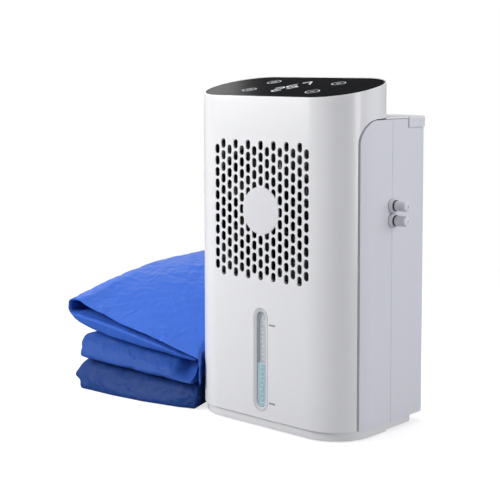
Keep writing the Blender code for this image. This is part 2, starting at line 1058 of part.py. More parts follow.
def cover_ports():
    """Holes of the power inlet and of the drain spout."""
    start = rear_y - cover_wall - overrun
    inlet = cylinder(
        "inlet_port",
        (inlet_x, start, inlet_height),
        inlet_barrel_radius + fit_gap,
        cover_wall + 2 * overrun,
        "Y",
    )
    drain = cylinder(
        "drain_port", (0, start, drain_height), drain_radius + fit_gap, cover_wall + 2 * overrun, "Y"
    )
    return inlet, drain


def board_boss_places():
    """Reach and height of the four bosses that carry the power board."""
    low = power_board_low + power_boss_inset
    high = power_board_high - power_boss_inset
    near = power_board_front + power_boss_inset
    far = power_board_rear - power_boss_inset
    return [(near, low), (near, high), (far, low), (far, high)]


def deck_plate():
    """Plate round the rear of the tower, between it and the lid."""
    plate = box(
        "deck_plate",
        (-half_width, reach_y(deck_front_reach), deck_height),
        (half_width, reach_y(lid_front_reach) - running_gap, deck_height + deck_thickness),
        "white_gloss",
    )
    around = prism(
        "deck_tower_cut", [tower_outline(-fit_gap)], deck_height - overrun, front_height + overrun
    )
    return cut(plate, around)


def tank_lid():
    """Flap over the filler hole, with skirts, a hinge barrel and notches for the knuckles."""
    outer = rear_outline(-lid_proud, reach_y(lid_front_reach))
    lid = prism("tank_lid", [outer], lid_skirt_low, lid_top_height, finish="white_satin")
    inside = prism(
        "lid_inside",
        [rear_outline(lid_wall - lid_proud, reach_y(lid_front_reach) - overrun)],
        lid_skirt_low - overrun,
        lid_top_height - lid_plate,
    )
    edge = box(
        "lid_front_edge",
        (-lid_inner_x, reach_y(lid_front_reach) - overrun, lid_skirt_low - overrun),
        (lid_inner_x, hinge_y - hinge_barrel_radius / 2, lid_top_height + overrun),
    )
    corner = box(
        "lid_front_corners",
        (-half_width - overrun, reach_y(lid_front_reach) - overrun, hinge_z - hinge_barrel_radius / 2),
        (half_width + overrun, hinge_y - hinge_barrel_radius / 2, lid_top_height + overrun),
    )
    barrel_half = half_width + lid_proud - fit_gap
    barrel = cylinder(
        "lid_barrel",
        (-barrel_half, hinge_y, hinge_z),
        hinge_barrel_radius,
        2 * barrel_half,
        "X",
    )
    join(cut(lid, inside, edge, corner), barrel)
    for side in (-1, 1):
        x = side * hinge_knuckle_x
        reach = hinge_knuckle_width / 2 + fit_gap
        notch = box(
            "lid_notch_" + str(side),
            (x - reach, reach_y(lid_front_reach) - overrun, hinge_z - 2 * hinge_barrel_radius),
            (x + reach, hinge_y + hinge_barrel_radius + running_gap, lid_top_height + overrun),
        )
        cut(lid, notch, pin_bore("lid_pin_bore_" + str(side), x))
    move_origin(lid, (0, hinge_y, hinge_z))
    for word, side in (("left", -1), ("right", 1)):
        cylinder(
            "hinge_pin_" + word,
            (side * hinge_knuckle_x - hinge_pin_length / 2, hinge_y, hinge_z),
            hinge_pin_radius,
            hinge_pin_length,
            "X",
            "bright_steel",
            steps=arc_steps,
        )
    return lid


def move_origin(obj, place):
    """Put an object's origin at a joint's axis, with its mesh where it was."""
    shift = obj.matrix_world.inverted() @ Vector(place)
    obj.data.transform(Matrix.Translation(-shift))
    obj.matrix_world = obj.matrix_world @ Matrix.Translation(shift)


def base_parts():
    """Inset base plate with its rear step, and four rubber feet in their pockets."""
    rear = reach_y(plinth_rear_reach)
    base = prism(
        "base_plate",
        [plan_outline(plinth_inset, rear, plinth_rear_radius)],
        foot_stand,
        plinth_top,
        finish="white_gloss",
    )
    step = box(
        "base_step",
        (-half_width, reach_y(plinth_step_reach), 0),
        (half_width, rear + overrun, foot_stand + plinth_step),
    )
    cut(base, step)
    foot_x = half_width - foot_inset_x
    places = {
        "front": reach_y(foot_inset_front),
        "rear": rear - foot_inset_rear,
    }
    for end, y in places.items():
        for word, side in (("left", -1), ("right", 1)):
            sink = foot_sink + (plinth_step if end == "rear" else 0)
            pocket = cylinder(
                "pocket_" + end + "_" + word,
                (side * foot_x, y, -overrun),
                foot_radius + fit_gap,
                overrun + foot_stand + sink + fit_gap,
                "Z",
            )
            cut(base, pocket)
            cylinder(
                "foot_" + end + "_" + word,
                (side * foot_x, y, 0),
                foot_radius,
                foot_stand + sink,
                "Z",
                "grey_rubber",
            )
            if end == "front":
                boss = cylinder(
                    "rest_boss_" + word,
                    (side * foot_x, y, plinth_top - plinth_height / 2),
                    rest_boss_radius,
                    plinth_height / 2 + tank_bottom - fit_gap - plinth_top,
                    "Z",
                    steps=arc_steps,
                )
                join(base, boss)
    return base


def tank_outline(inset):
    """Plan of the tank, which follows the unit's outline inside."""
    rear = reach_y(tank_rear_reach) - inset
    return plan_outline(tank_inset + inset, rear, tank_rear_radius - inset)


def tank_parts():
    """Open tank with its drain spout, the seal on its rim and the tank top."""
    tank = prism(
        "water_tank", [tank_outline(0)], tank_bottom, tank_rim_height, finish="milky_plastic"
    )
    hollow = prism(
        "tank_hollow", [tank_outline(tank_wall)], tank_bottom + tank_wall, tank_rim_height + overrun
    )
    spout_end = rear_y - fit_gap
    spout = cylinder(
        "drain_spout",
        (0, reach_y(tank_rear_reach) - tank_wall / 2, drain_height),
        drain_radius,
        spout_end - reach_y(tank_rear_reach) + tank_wall / 2,
        "Y",
    )
    bore = cylinder(
        "drain_bore",
        (0, reach_y(tank_rear_reach) - tank_wall - overrun, drain_height),
        drain_bore_radius,
        spout_end - reach_y(tank_rear_reach) + tank_wall + 2 * overrun,
        "Y",
    )
    cut(join(cut(tank, hollow), spout), bore)
    prism(
        "tank_seal",
        [tank_outline(0), tank_outline(tank_rim)],
        seal_low,
        seal_low + seal_thickness,
        finish="grey_rubber",
    )
    top = prism("tank_top", [tank_outline(0)], tank_top_low, tank_top_high, finish="milky_plastic")
    return_stub = cylinder(
        "return_spigot",
        (return_spigot_x, seam_y, tank_top_low),
        barb_radius,
        tank_top_thickness + barb_length,
        "Z",
    )
    join(top, return_stub)
    cut(
        top,
        filler_bore("tank_filler_hole", tank_top_low - overrun, tank_top_high + overrun),
        cylinder(
            "return_bore",
            (return_spigot_x, seam_y, tank_top_low - overrun),
            barb_bore_radius,
            tank_top_thickness + barb_length + 2 * overrun,
            "Z",
            steps=arc_steps,
        ),
        cylinder(
            "pump_hose_hole",
            (0, pump_y, tank_top_low - overrun),
            hose_radius + fit_gap,
            tank_top_thickness + 2 * overrun,
            "Z",
        ),
        cylinder(
            "float_hole",
            (float_x, reach_y(float_reach), tank_top_low - overrun),
            float_stem_radius + fit_gap,
            tank_top_thickness + 2 * overrun,
            "Z",
            steps=arc_steps,
        ),
    )


def filler_duct():
    """Square duct from the filler hole down to the tank, with a flange at each end."""
    low = tank_top_high + fit_gap
    high = panel_top - cover_top_wall - fit_gap
    half_x = duct_width / 2
    half_y = duct_depth / 2
    duct = box(
        "filler_duct", (-half_x, duct_y - half_y, low), (half_x, duct_y + half_y, high), "milky_plastic"
    )
    for word, start in (("low", low), ("high", high - duct_flange_thickness)):
        flange = box(
            "duct_flange_" + word,
            (-half_x - duct_flange, duct_y - half_y - duct_flange, start),
            (half_x + duct_flange, duct_y + half_y + duct_flange, start + duct_flange_thickness),
        )
        join(duct, flange)
    return cut(duct, filler_bore("duct_bore", low - overrun, high + overrun))


def drain_plug():
    """Soft plug in the drain spout, with a pull tab on its head."""
    inner = reach_y(tank_rear_reach) - rear_y
    head = fit_gap + plug_head_thickness
    profile = [
        (0, head),
        (plug_head_radius, head),
        (plug_head_radius, fit_gap),
        (drain_bore_radius - fit_gap, fit_gap),
        (drain_bore_radius - fit_gap, inner),
        (0, inner),
    ]
    plug = turned("drain_plug", profile, (0, rear_y, drain_height), "Y", "grey_rubber")
    tab = box(
        "plug_tab",
        (-plug_tab_width, rear_y + fit_gap + plug_head_thickness / 2, drain_height - plug_tab_width / 2),
        (
            plug_tab_width,
            rear_y + head + plug_tab_length,
            drain_height + plug_tab_width / 2,
        ),
    )
    return join(plug, tab)


def float_switch():
    """Stem that hangs from the tank top and the float that slides on it."""
    place = (float_x, reach_y(float_reach), 0)
    high = tank_top_high + fit_gap + float_flange_thickness
    collar = tank_top_high + fit_gap
    low = tank_top_low - float_stem_length
    profile = [
        (0, high),
        (float_flange_radius, high),
        (float_flange_radius, collar),
        (float_stem_radius, collar),
        (float_stem_radius, low + float_stop_thickness),
        (float_stop_radius, low + float_stop_thickness),
        (float_stop_radius, low),
        (0, low),
    ]
    turned("float_stem", profile, place, "Z", "milky_plastic")
    rest = low + float_stop_thickness + fit_gap
    bore = float_stem_radius + running_gap
    profile = [(bore, float_height), (float_radius, float_height), (float_radius, 0), (bore, 0)]
    turned("float", profile, (place[0], place[1], rest), "Z", "white_gloss", closed=True)


def pump_parts():
    """Pump that stands in the tank: body, cover with feet, and impeller."""
    axis = (pump_x, pump_y)
    body = cylinder(
        "pump_body", (*axis, pump_low), pump_base_radius, pump_base_height, "Z", "dark_plastic"
    )
    motor = cylinder(
        "pump_motor", (*axis, pump_low + overrun), pump_motor_radius,
        pump_base_height + pump_motor_height - overrun, "Z",
    )
    outlet = cylinder(
        "pump_outlet", (0, pump_y, pump_outlet_base - overrun), barb_radius,
        overrun + barb_length, "Z",
    )
    outlet_bore = cylinder(
        "pump_outlet_bore", (0, pump_y, pump_low + pump_chamber_height / 2), barb_bore_radius,
        pump_base_height + barb_length, "Z", steps=arc_steps,
    )
    throat = cylinder(
        "pump_throat", (0, pump_y, pump_low + pump_chamber_height / 2), barb_bore_radius,
        pump_x, "X", steps=arc_steps,
    )
    chamber = cylinder(
        "pump_chamber", (*axis, pump_low - overrun), pump_chamber_radius,
        pump_chamber_height + overrun, "Z",
    )
    shaft_bore = cylinder(
        "pump_shaft_bore", (*axis, pump_low), impeller_shaft_radius + fit_gap,
        pump_chamber_height + impeller_shaft_length, "Z", steps=arc_steps,
    )
    cut(join(body, motor, outlet), chamber, shaft_bore, throat, outlet_bore)
    cover = cylinder(
        "pump_cover", (*axis, pump_cover_low), pump_base_radius, pump_cover_thickness, "Z", "dark_plastic"
    )
    for index in range(3):
        angle = 2 * math.pi * index / 3
        foot = cylinder(
            "pump_foot_" + str(index),
            (
                pump_x + pump_foot_ring * math.cos(angle),
                pump_y + pump_foot_ring * math.sin(angle),
                pump_foot_low,
            ),
            pump_foot_radius,
            pump_foot_height + pump_cover_thickness / 2,
            "Z",
            steps=arc_steps,
        )
        join(cover, foot)
    inlet = cylinder(
        "pump_inlet", (*axis, pump_cover_low - overrun), pump_inlet_radius,
        pump_cover_thickness + 2 * overrun, "Z",
    )
    cut(cover, inlet)
    pump_impeller()


def pump_impeller():
    """Open impeller with straight blades, carried by its shaft in the pump body."""
    plate_high = pump_low + pump_chamber_height - running_gap
    plate_low = plate_high - impeller_plate
    impeller = cylinder(
        "pump_impeller", (pump_x, pump_y, plate_low), impeller_radius, impeller_plate, "Z", "white_gloss"
    )
    shaft = cylinder(
        "impeller_shaft", (pump_x, pump_y, plate_low), impeller_shaft_radius,
        plate_high - plate_low + impeller_shaft_length, "Z", steps=arc_steps,
    )
    hub = cylinder(
        "impeller_hub", (pump_x, pump_y, plate_low - impeller_blade_height),
        2 * impeller_shaft_radius, impeller_blade_height + impeller_plate / 2, "Z", steps=arc_steps,
    )
    join(impeller, shaft, hub)
    for index in range(impeller_blades):
        blade = box(
            "impeller_blade_" + str(index),
            (impeller_shaft_radius, -impeller_blade_width / 2, -impeller_blade_height),
            (impeller_radius - fit_gap, impeller_blade_width / 2, impeller_plate / 2),
        )
        turn = Matrix.Rotation(2 * math.pi * index / impeller_blades, 4, "Z")
        blade.matrix_world = Matrix.Translation((pump_x, pump_y, plate_low)) @ turn @ blade.matrix_world
        join(impeller, blade)
    return impeller


def hose(name, points):
    """Bored hose that slips over the barb at each end."""
    route = smooth_route(points, hose_point_pitch)
    outer = tube(name, route, hose_radius, "clear_hose")
    first = route[0] + (route[0] - route[1]).normalized() * overrun
    last = route[-1] + (route[-1] - route[-2]).normalized() * overrun
    bore = tube(name + "_bore", [first] + route[1:-1] + [last], hose_bore_radius)
    return cut(outer, bore)


def hoses():
    """Hoses from pump to block, from block to the pad, and from the pad to the tank."""
    hose(
        "pump_hose",
        [(0, pump_y, pump_outlet_base + fit_gap), (0, pump_y, block_low - fit_gap)],
    )
    block_y = reach_y(block_reach)
    rise = block_high + fit_gap
    inner_x = connector_inner_x - fit_gap
    supply_z, return_z = connector_heights
    straight = barb_length + hose_radius / 2
    top = rise + straight + 3 * hose_radius
    arch_x = 6 * hose_radius
    hose(
        "supply_hose",
        [
            (0, block_y, rise),
            (0, block_y, rise + straight),
            (arch_x / 6, block_y, top - hose_radius),
            (arch_x / 2, block_y, top),
            (arch_x, block_y, top - hose_radius),
            (arch_x + 2 * hose_radius, (block_y + seam_y) / 2, (top + supply_z) / 2),
            (inner_x - straight - 2 * hose_radius, seam_y, supply_z + hose_radius),
            (inner_x - straight, seam_y, supply_z),
            (inner_x, seam_y, supply_z),
        ],
    )
    low = tank_top_high + fit_gap
    drop = (return_z - low) / 2
    hose(
        "return_hose",
        [
            (inner_x, seam_y, return_z),
            (inner_x - straight, seam_y, return_z),
            (return_spigot_x + 2 * hose_radius, seam_y, return_z - hose_radius),
            (return_spigot_x + hose_radius / 2, seam_y, return_z - 3 * hose_radius),
            (return_spigot_x, seam_y, low + drop),
            (return_spigot_x, seam_y, low + straight),
            (return_spigot_x, seam_y, low),
        ],
    )


def hose_connectors():
    """Two self-closing spigots, held by their necks in the side seam, with a barb inside."""
    inner = -cover_wall - fit_gap
    flange = fit_gap + connector_flange_width
    tip = connector_length
    chamfer = connector_chamfer
    back = inner - connector_inner_flange_width
    ring = tip - connector_ring_run
    profile = [
        (0, tip),
        (connector_barrel_radius - chamfer, tip),
        (connector_barrel_radius, tip - chamfer),
        (connector_barrel_radius, ring),
        (connector_barrel_radius - connector_ring_depth, ring),
        (connector_barrel_radius - connector_ring_depth, ring - connector_ring_width),
        (connector_barrel_radius, ring - connector_ring_width),
        (connector_barrel_radius, flange),
        (connector_flange_radius - chamfer / 2, flange),
        (connector_flange_radius, flange - chamfer / 2),
        (connector_flange_radius, fit_gap),
        (connector_neck_radius, fit_gap),
        (connector_neck_radius, inner),
        (connector_flange_radius - chamfer, inner),
        (connector_flange_radius - chamfer, back),
        (barb_radius, back),
        (barb_radius, back - barb_length),
        (barb_bore_radius, back - barb_length),
        (barb_bore_radius, inner),
        (connector_bore_radius, fit_gap),
        (connector_bore_radius, tip - connector_valve_length),
        (0, tip - connector_valve_length),
    ]
    for word, height in zip(("upper", "lower"), connector_heights):
        base = (half_width, seam_y, height)
        turned("hose_connector_" + word, profile, base, "X", "white_satin", steps=spigot_steps)


def fan_parts():
    """Axial fan: square frame with its motor base on struts, and the bladed rotor."""
    centre = (0, grille_height)
    corner = fan_corner_radius
    inner = fan_half - corner
    square = []
    for start, across, up in ((0, 1, 1), (90, -1, 1), (180, -1, -1), (270, 1, -1)):
        square += arc((across * inner, grille_height + up * inner), corner, start, start + 90, 3)
    ring = arc(centre, fan_bore_radius, 0, 360, fine_round_steps)[:-1]
    frame = prism(
        "fan_frame", [square, ring], reach_y(fan_front), reach_y(fan_rear), axis="Y", finish="dark_plastic"
    )
    base_front = fan_rear - fan_base_thickness
    base = cylinder(
        "fan_base",
        (0, reach_y(base_front), grille_height),
        fan_base_radius,
        fan_base_thickness,
        "Y",
        steps=fine_round_steps,
    )
    join(frame, base)
    for index in range(fan_strut_count):
        strut = box(
            "fan_strut_" + str(index),
            (fan_base_radius - overrun, -fan_base_thickness / 2, -fan_strut_width / 2),
            (fan_bore_radius + overrun / 2, fan_base_thickness / 2, fan_strut_width / 2),
        )
        turn = Matrix.Rotation(math.pi * (2 * index + 1) / fan_strut_count, 4, "Y")
        shift = Matrix.Translation((0, reach_y(fan_rear - fan_base_thickness / 2), grille_height))
        strut.matrix_world = shift @ turn @ strut.matrix_world
        join(frame, strut)
    shaft_bore = cylinder(
        "fan_shaft_bore",
        (0, reach_y(base_front) - overrun, grille_height),
        fan_shaft_radius + fit_gap,
        fan_base_thickness + 2 * overrun,
        "Y",
        steps=arc_steps,
    )
    cut(frame, shaft_bore)
    hub_front = fan_front + fan_front_room
    hub_rear = base_front - running_gap
    rotor = cylinder(
        "fan_rotor",
        (0, reach_y(hub_front), grille_height),
        fan_hub_radius,
        hub_rear - hub_front,
        "Y",
        "dark_plastic",
        steps=fine_round_steps,
    )
    shaft = cylinder(
        "fan_shaft",
        (0, reach_y(hub_rear) - overrun, grille_height),
        fan_shaft_radius,
        overrun + running_gap + fan_base_thickness,
        "Y",
        steps=arc_steps,
    )
    join(rotor, shaft, fan_blade_set((hub_front + hub_rear) / 2))


def runs_along_x(edge):
    start, end = edge.verts
    return abs(start.co.x - end.co.x) > weld_distance


def fan_blade_set(reach):
    """Twisted blades round the hub, as one cutter-side mesh of separate blades."""
    work = bmesh.new()
    span = fan_blade_tip_radius - fan_blade_root_radius
    for index in range(fan_blades):
        blade = bmesh.new()
        bmesh.ops.create_cube(blade, size=1.0)
        along = [edge for edge in blade.edges if runs_along_x(edge)]
        bmesh.ops.subdivide_edges(blade, edges=along, cuts=fan_blade_cuts)
        for vertex in blade.verts:
            share = vertex.co.x + 1 / 2
            chord = fan_blade_root_chord + (fan_blade_tip_chord - fan_blade_root_chord) * share
            pitch = fan_blade_root_pitch + (fan_blade_tip_pitch - fan_blade_root_pitch) * share
            flat = Vector((0, vertex.co.y * fan_blade_thickness, vertex.co.z * chord))
            flat.rotate(Matrix.Rotation(pitch, 3, "X"))
            vertex.co = Vector((fan_blade_root_radius + span * share, flat.y, flat.z))
        blade.transform(Matrix.Rotation(2 * math.pi * index / fan_blades, 4, "Y"))
        mesh = bpy.data.meshes.new("blade")
        blade.to_mesh(mesh)
        blade.free()
        work.from_mesh(mesh)
        bpy.data.meshes.remove(mesh)
    mesh = bpy.data.meshes.new("fan_blades")
    work.to_mesh(mesh)
    work.free()
    return add_object("fan_blades", mesh, Matrix.Translation((0, reach_y(reach), grille_height)), None)


def cooling_stack():
    """Finned sink behind the fan, cooling module, water block, clamp and screws."""
    pitch = (fan_size - sink_fin_thickness) / (sink_fin_count - 1)
    root = reach_y(sink_rear - sink_base)
    comb = [(fan_half, reach_y(sink_rear)), (-fan_half, reach_y(sink_rear))]
    for index in range(sink_fin_count):
        x = -fan_half + index * pitch
        comb += [(x, root), (x, reach_y(sink_front))]
        comb += [(x + sink_fin_thickness, reach_y(sink_front)), (x + sink_fin_thickness, root)]
    del comb[2]
    del comb[-1]
    sink = prism(
        "heat_sink",
        [comb],
        grille_height - fan_half,
        grille_height + fan_half,
        finish="bare_aluminium",
    )
    box(
        "cooling_module",
        (-module_size / 2, reach_y(module_front), grille_height - module_size / 2),
        (module_size / 2, reach_y(module_rear), grille_height + module_size / 2),
        "ceramic_white",
    )
    block = box(
        "water_block",
        (-block_width / 2, reach_y(block_front), block_low),
        (block_width / 2, reach_y(block_rear), block_high),
        "bare_aluminium",
    )
    join(
        block,
        cylinder(
            "block_spigot",
            (0, reach_y(block_reach), block_low - barb_length),
            barb_radius,
            block_height + 2 * barb_length,
            "Z",
        ),
    )
    cut(
        block,
        cylinder(
            "block_bore",
            (0, reach_y(block_reach), block_low - barb_length - overrun),
            barb_bore_radius,
            block_height + 2 * barb_length + 2 * overrun,
            "Z",
            steps=arc_steps,
        ),
    )
    clamp = box(
        "block_clamp",
        (-clamp_width / 2, reach_y(clamp_front), grille_height - clamp_height / 2),
        (clamp_width / 2, reach_y(clamp_rear), grille_height + clamp_height / 2),
        "bright_steel",
    )
    tip = reach_y(sink_rear) - screw_grip
    head = reach_y(clamp_rear) + fit_gap
    for word, side in (("left", -1), ("right", 1)):
        x = side * clamp_screw_x
        hole = cylinder(
            "screw_hole_" + word,
            (x, tip - fit_gap, grille_height),
            screw_radius + fit_gap,
            head - tip + 2 * fit_gap,
            "Y",
            steps=arc_steps,
        )
        cut(clamp, hole)
        cut(sink, hole)
        profile = [
            (0, screw_head_height),
            (screw_head_radius, screw_head_height),
            (screw_head_radius, 0),
            (screw_radius, 0),
            (screw_radius, tip - head),
            (0, tip - head),
        ]
        turned(
            "clamp_screw_" + word, profile, (x, head, grille_height), "Y", "bright_steel", steps=arc_steps
        )


def power_parts():
    """Power board on its bosses and the round low-voltage inlet in the rear wall."""
    low_x = -half_width + cover_wall + power_board_standoff + fit_gap
    high_x = low_x + power_board_thickness
    board = box(
        "power_board",
        (low_x, reach_y(power_board_front), power_board_low),
        (high_x, reach_y(power_board_rear), power_board_high),
        "board_green",
    )
    middle = reach_y((power_board_front + power_board_rear) / 2)
    coil_high = power_board_high - power_boss_inset
    coil = box(
        "board_coil",
        (low_x + power_board_thickness / 2, middle - coil_width / 2, coil_high - coil_height),
        (high_x + coil_thickness, middle + coil_width / 2, coil_high),
    )
    capacitor = cylinder(
        "board_capacitor",
        (low_x + power_board_thickness / 2, middle, power_board_low + coil_height),
        capacitor_radius,
        capacitor_length,
        "X",
    )
    join(board, coil, capacitor)
    flange = fit_gap + inlet_flange_width
    mouth = flange - inlet_bore_depth
    place = (inlet_x, rear_y, inlet_height)
    outer = [
        (0, flange),
        (inlet_flange_radius, flange),
        (inlet_flange_radius, fit_gap),
        (inlet_barrel_radius, fit_gap),
        (inlet_barrel_radius, -inlet_depth),
        (0, -inlet_depth),
    ]
    inlet = turned("power_inlet", outer, place, "Y", "dark_plastic")
    socket = [
        (0, flange + overrun),
        (inlet_bore_radius, flange + overrun),
        (inlet_bore_radius, mouth),
        (0, mouth),
    ]
    bore = turned("inlet_bore", socket, place, "Y")
    pin = cylinder(
        "inlet_pin",
        (inlet_x, rear_y + mouth - inlet_pin_radius, inlet_height),
        inlet_pin_radius,
        inlet_bore_depth - inlet_flange_width + inlet_pin_radius,
        "Y",
        steps=arc_steps,
    )
    return join(cut(inlet, bore), pin)


def pad_loop():
    """Places round the pad's plan as shares of its length and depth, with their way in."""
    loop = [(share, 0, 0, 1) for share in pad_short_side_shares]
    loop += [(1, share, -1, 0) for share in pad_long_side_shares]
    loop += [(1 - share, 1, 0, -1) for share in pad_short_side_shares]
    loop += [(0, 1 - share, 1, 0) for share in pad_long_side_shares]
    return loop


def pad_height(across, along, level):
    """Height of a level of the folded pad: 0 is the floor, 1 and 2 the lips, 3 the top."""
    rise = 1 - (1 - along) ** pad_rise_power
    low_lip = pad_low_lip_left + (pad_low_lip_right - pad_low_lip_left) * across
    high_lip = pad_high_lip_left + (pad_high_lip_right - pad_high_lip_left) * across
    top = pad_top_left + (pad_top_right - pad_top_left) * across
    top_rise = pad_top_rise_left + (pad_top_rise_right - pad_top_rise_left) * across
    heights = (
        0,
        low_lip + pad_low_lip_rise * rise,
        high_lip + pad_high_lip_rise * rise,
        top + top_rise * rise,
    )
    below = min(int(level), len(heights) - 2)
    return heights[below] + (heights[below + 1] - heights[below]) * (level - below)


def pad_place(across, along, level, left_run):
    """Point of the pad's cage: its right side is drawn in beside the unit."""
    x = -left_run + (pad_length + left_run) * across
    x -= pad_side_draw * math.sin(math.pi * along) * across
    return Vector((x, pad_depth * along, pad_height(across, along, level)))


def pad_ring(work, draw, level, left_run):
    """One ring of the pad's cage: its outline drawn in, at a level of the folds."""
    ring = []
    for across, along, in_across, in_along in pad_loop():
        inward = Vector((in_across, in_along, 0)) * draw
        ring.append(work.verts.new(pad_place(across, along, level, left_run) + inward))
    return ring


def pad_top(work, ring):
    """Grid of faces inside the top ring, raised to a low crown."""
    grid = []
    for along in pad_long_side_shares:
        row = []
        for across in pad_short_side_shares:
            crown = pad_crown * math.sin(math.pi * across) * math.sin(math.pi * along)
            lift = Vector((0, 0, pad_edge_rise + crown))
            row.append(work.verts.new(pad_place(across, along, pad_levels[-1][0], pad_left_run) + lift))
        grid.append(row)
    inner = grid[0] + [row[-1] for row in grid] + grid[-1][::-1] + [row[0] for row in grid[::-1]]
    for index in range(len(ring)):
        after = (index + 1) % len(ring)
        corners = [ring[index], ring[after], inner[after]]
        if inner[index] is not inner[after]:
            corners.append(inner[index])
        work.faces.new(corners)
    for near, far in zip(grid, grid[1:]):
        for index in range(len(near) - 1):
            work.faces.new((near[index], near[index + 1], far[index + 1], far[index]))


def mattress_pad():
    """Folded pad as one closed cushion form: bundles, drawn-in folds and a crown."""
    work = bmesh.new()
    rings = []
    for level, draw_share in pad_levels:
        run = pad_left_run if level > pad_wrap_level else 0
        rings.append(pad_ring(work, pad_fold_draw * draw_share, level, run))
    for lower, upper in zip(rings, rings[1:]):
        for index in range(len(lower)):
            after = (index + 1) % len(lower)
            work.faces.new((lower[index], lower[after], upper[after], upper[index]))
    work.faces.new(list(reversed(rings[0])))
    pad_top(work, rings[-1])
    mesh = bpy.data.meshes.new("mattress_pad")
    work.to_mesh(mesh)
    work.free()
    corner = Matrix.Translation((pad_corner_x, reach_y(pad_corner_reach), 0))
    shift = Matrix.Translation((-pad_length, 0, 0))
    turn = Matrix.Rotation(-pad_turn, 4, "Z")
    pad = add_object("mattress_pad", mesh, corner @ turn @ shift, "blue_fabric")
    soften = pad.modifiers.new("soften", "SUBSURF")
    soften.levels = 1
    soften.render_levels = 1
    return shade_round(pad)


front_shell()
window_parts()
panel_parts()
side_panel("side_panel_left", -1)
side_panel("side_panel_right", 1)
rear_cover()
deck_plate()
tank_lid()
base_parts()
tank_parts()
filler_duct()
drain_plug()
float_switch()
pump_parts()
hoses()
hose_connectors()
fan_parts()
cooling_stack()
power_parts()
mattress_pad()
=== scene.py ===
"""Water cooling mattress pad: the cooling unit with its folded pad beside it.

Metres, +Z up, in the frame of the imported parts. The unit's front faces -Y.
"""

import contextlib
import json
import math

import bmesh
import bpy
from mathutils import Matrix, Vector, noise


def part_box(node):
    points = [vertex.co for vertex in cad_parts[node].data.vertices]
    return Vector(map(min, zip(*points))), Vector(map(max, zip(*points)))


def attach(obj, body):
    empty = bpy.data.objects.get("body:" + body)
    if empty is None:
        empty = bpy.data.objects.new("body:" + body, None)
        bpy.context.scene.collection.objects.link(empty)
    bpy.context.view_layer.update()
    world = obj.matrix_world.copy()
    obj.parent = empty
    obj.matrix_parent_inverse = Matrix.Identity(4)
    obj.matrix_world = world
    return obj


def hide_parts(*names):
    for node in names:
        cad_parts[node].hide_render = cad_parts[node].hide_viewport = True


bl_info = {
    "name": "Water Cooling Mattress Pad",
    "version": (1, 0, 0),
    "blender": (4, 5, 0),
    "location": "3D View > Sidebar > Cooling Pad",
    "description": "Builds a cooling unit with air grille, water window and lid, and its folded pad",
    "category": "Object",
}

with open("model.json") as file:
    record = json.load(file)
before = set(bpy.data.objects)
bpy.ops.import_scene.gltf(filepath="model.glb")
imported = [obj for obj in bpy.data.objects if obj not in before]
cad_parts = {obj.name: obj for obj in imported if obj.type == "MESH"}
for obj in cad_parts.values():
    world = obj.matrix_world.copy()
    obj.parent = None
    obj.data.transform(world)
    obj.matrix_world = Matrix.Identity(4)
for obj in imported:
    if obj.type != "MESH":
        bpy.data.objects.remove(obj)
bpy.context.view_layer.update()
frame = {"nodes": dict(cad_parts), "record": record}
shell_low, shell_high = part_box("front_shell")
deck_low, deck_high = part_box("deck_plate")
cover_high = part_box("rear_cover")[1]
lid_low, lid_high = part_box("tank_lid")
base_low, base_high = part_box("base_plate")
lens_low, lens_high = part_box("window_lens")
fan_low, fan_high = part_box("fan_frame")

front_y = shell_low.y
rear_y = cover_high.y
half_width = shell_high.x
body_bottom = shell_low.z
tower_depth = shell_high.y - shell_low.y
fit_gap = 0.0003
overrun = 0.003
panel_top = deck_low.z - fit_gap
fan_middle = (fan_low.z + fan_high.z) / 2
window_middle = (lens_low.z + lens_high.z) / 2
round_steps = 64

lid_front = lid_low.y
lid_wall = 0.0016
lid_proud = lid_high.x - half_width
lid_plate = 0.0015
lid_play = 0.0004
hinge_radius = 0.0017
hinge_y = lid_front + hinge_radius
hinge_z = lid_high.z - hinge_radius
hinge_knuckle_x = 0.060
hinge_knuckle_width = 0.0094
tank_top_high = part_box("tank_top")[0].z + 0.0024
cover_roof = 0.0028
filler_half_width = 0.0272
filler_half_depth = 0.0057
filler_y = 0.0454
port_depth = 0.006
connector_hole_radius = 0.0047
drain_height = 0.0245
port_radii = {"power_inlet": 0.0053, "drain_plug": 0.0068}


def length(name, description, default):
    """A size in metres that a user can change."""
    return bpy.props.FloatProperty(
        name=name, description=description, default=default, unit="LENGTH", precision=5
    )


def linear(text):
    """Linear colour of an sRGB hex value."""
    channels = [int(text[start : start + 2], 16) / 255 for start in (0, 2, 4)]
    return tuple(
        channel / 12.92 if channel <= 0.04045 else ((channel + 0.055) / 1.055) ** 2.4
        for channel in channels
    )


def colour(name, description, text):
    """A colour that a user can change, from its sRGB hex value."""
    return bpy.props.FloatVectorProperty(
        name=name, description=description, default=linear(text), subtype="COLOR", min=0, max=1
    )


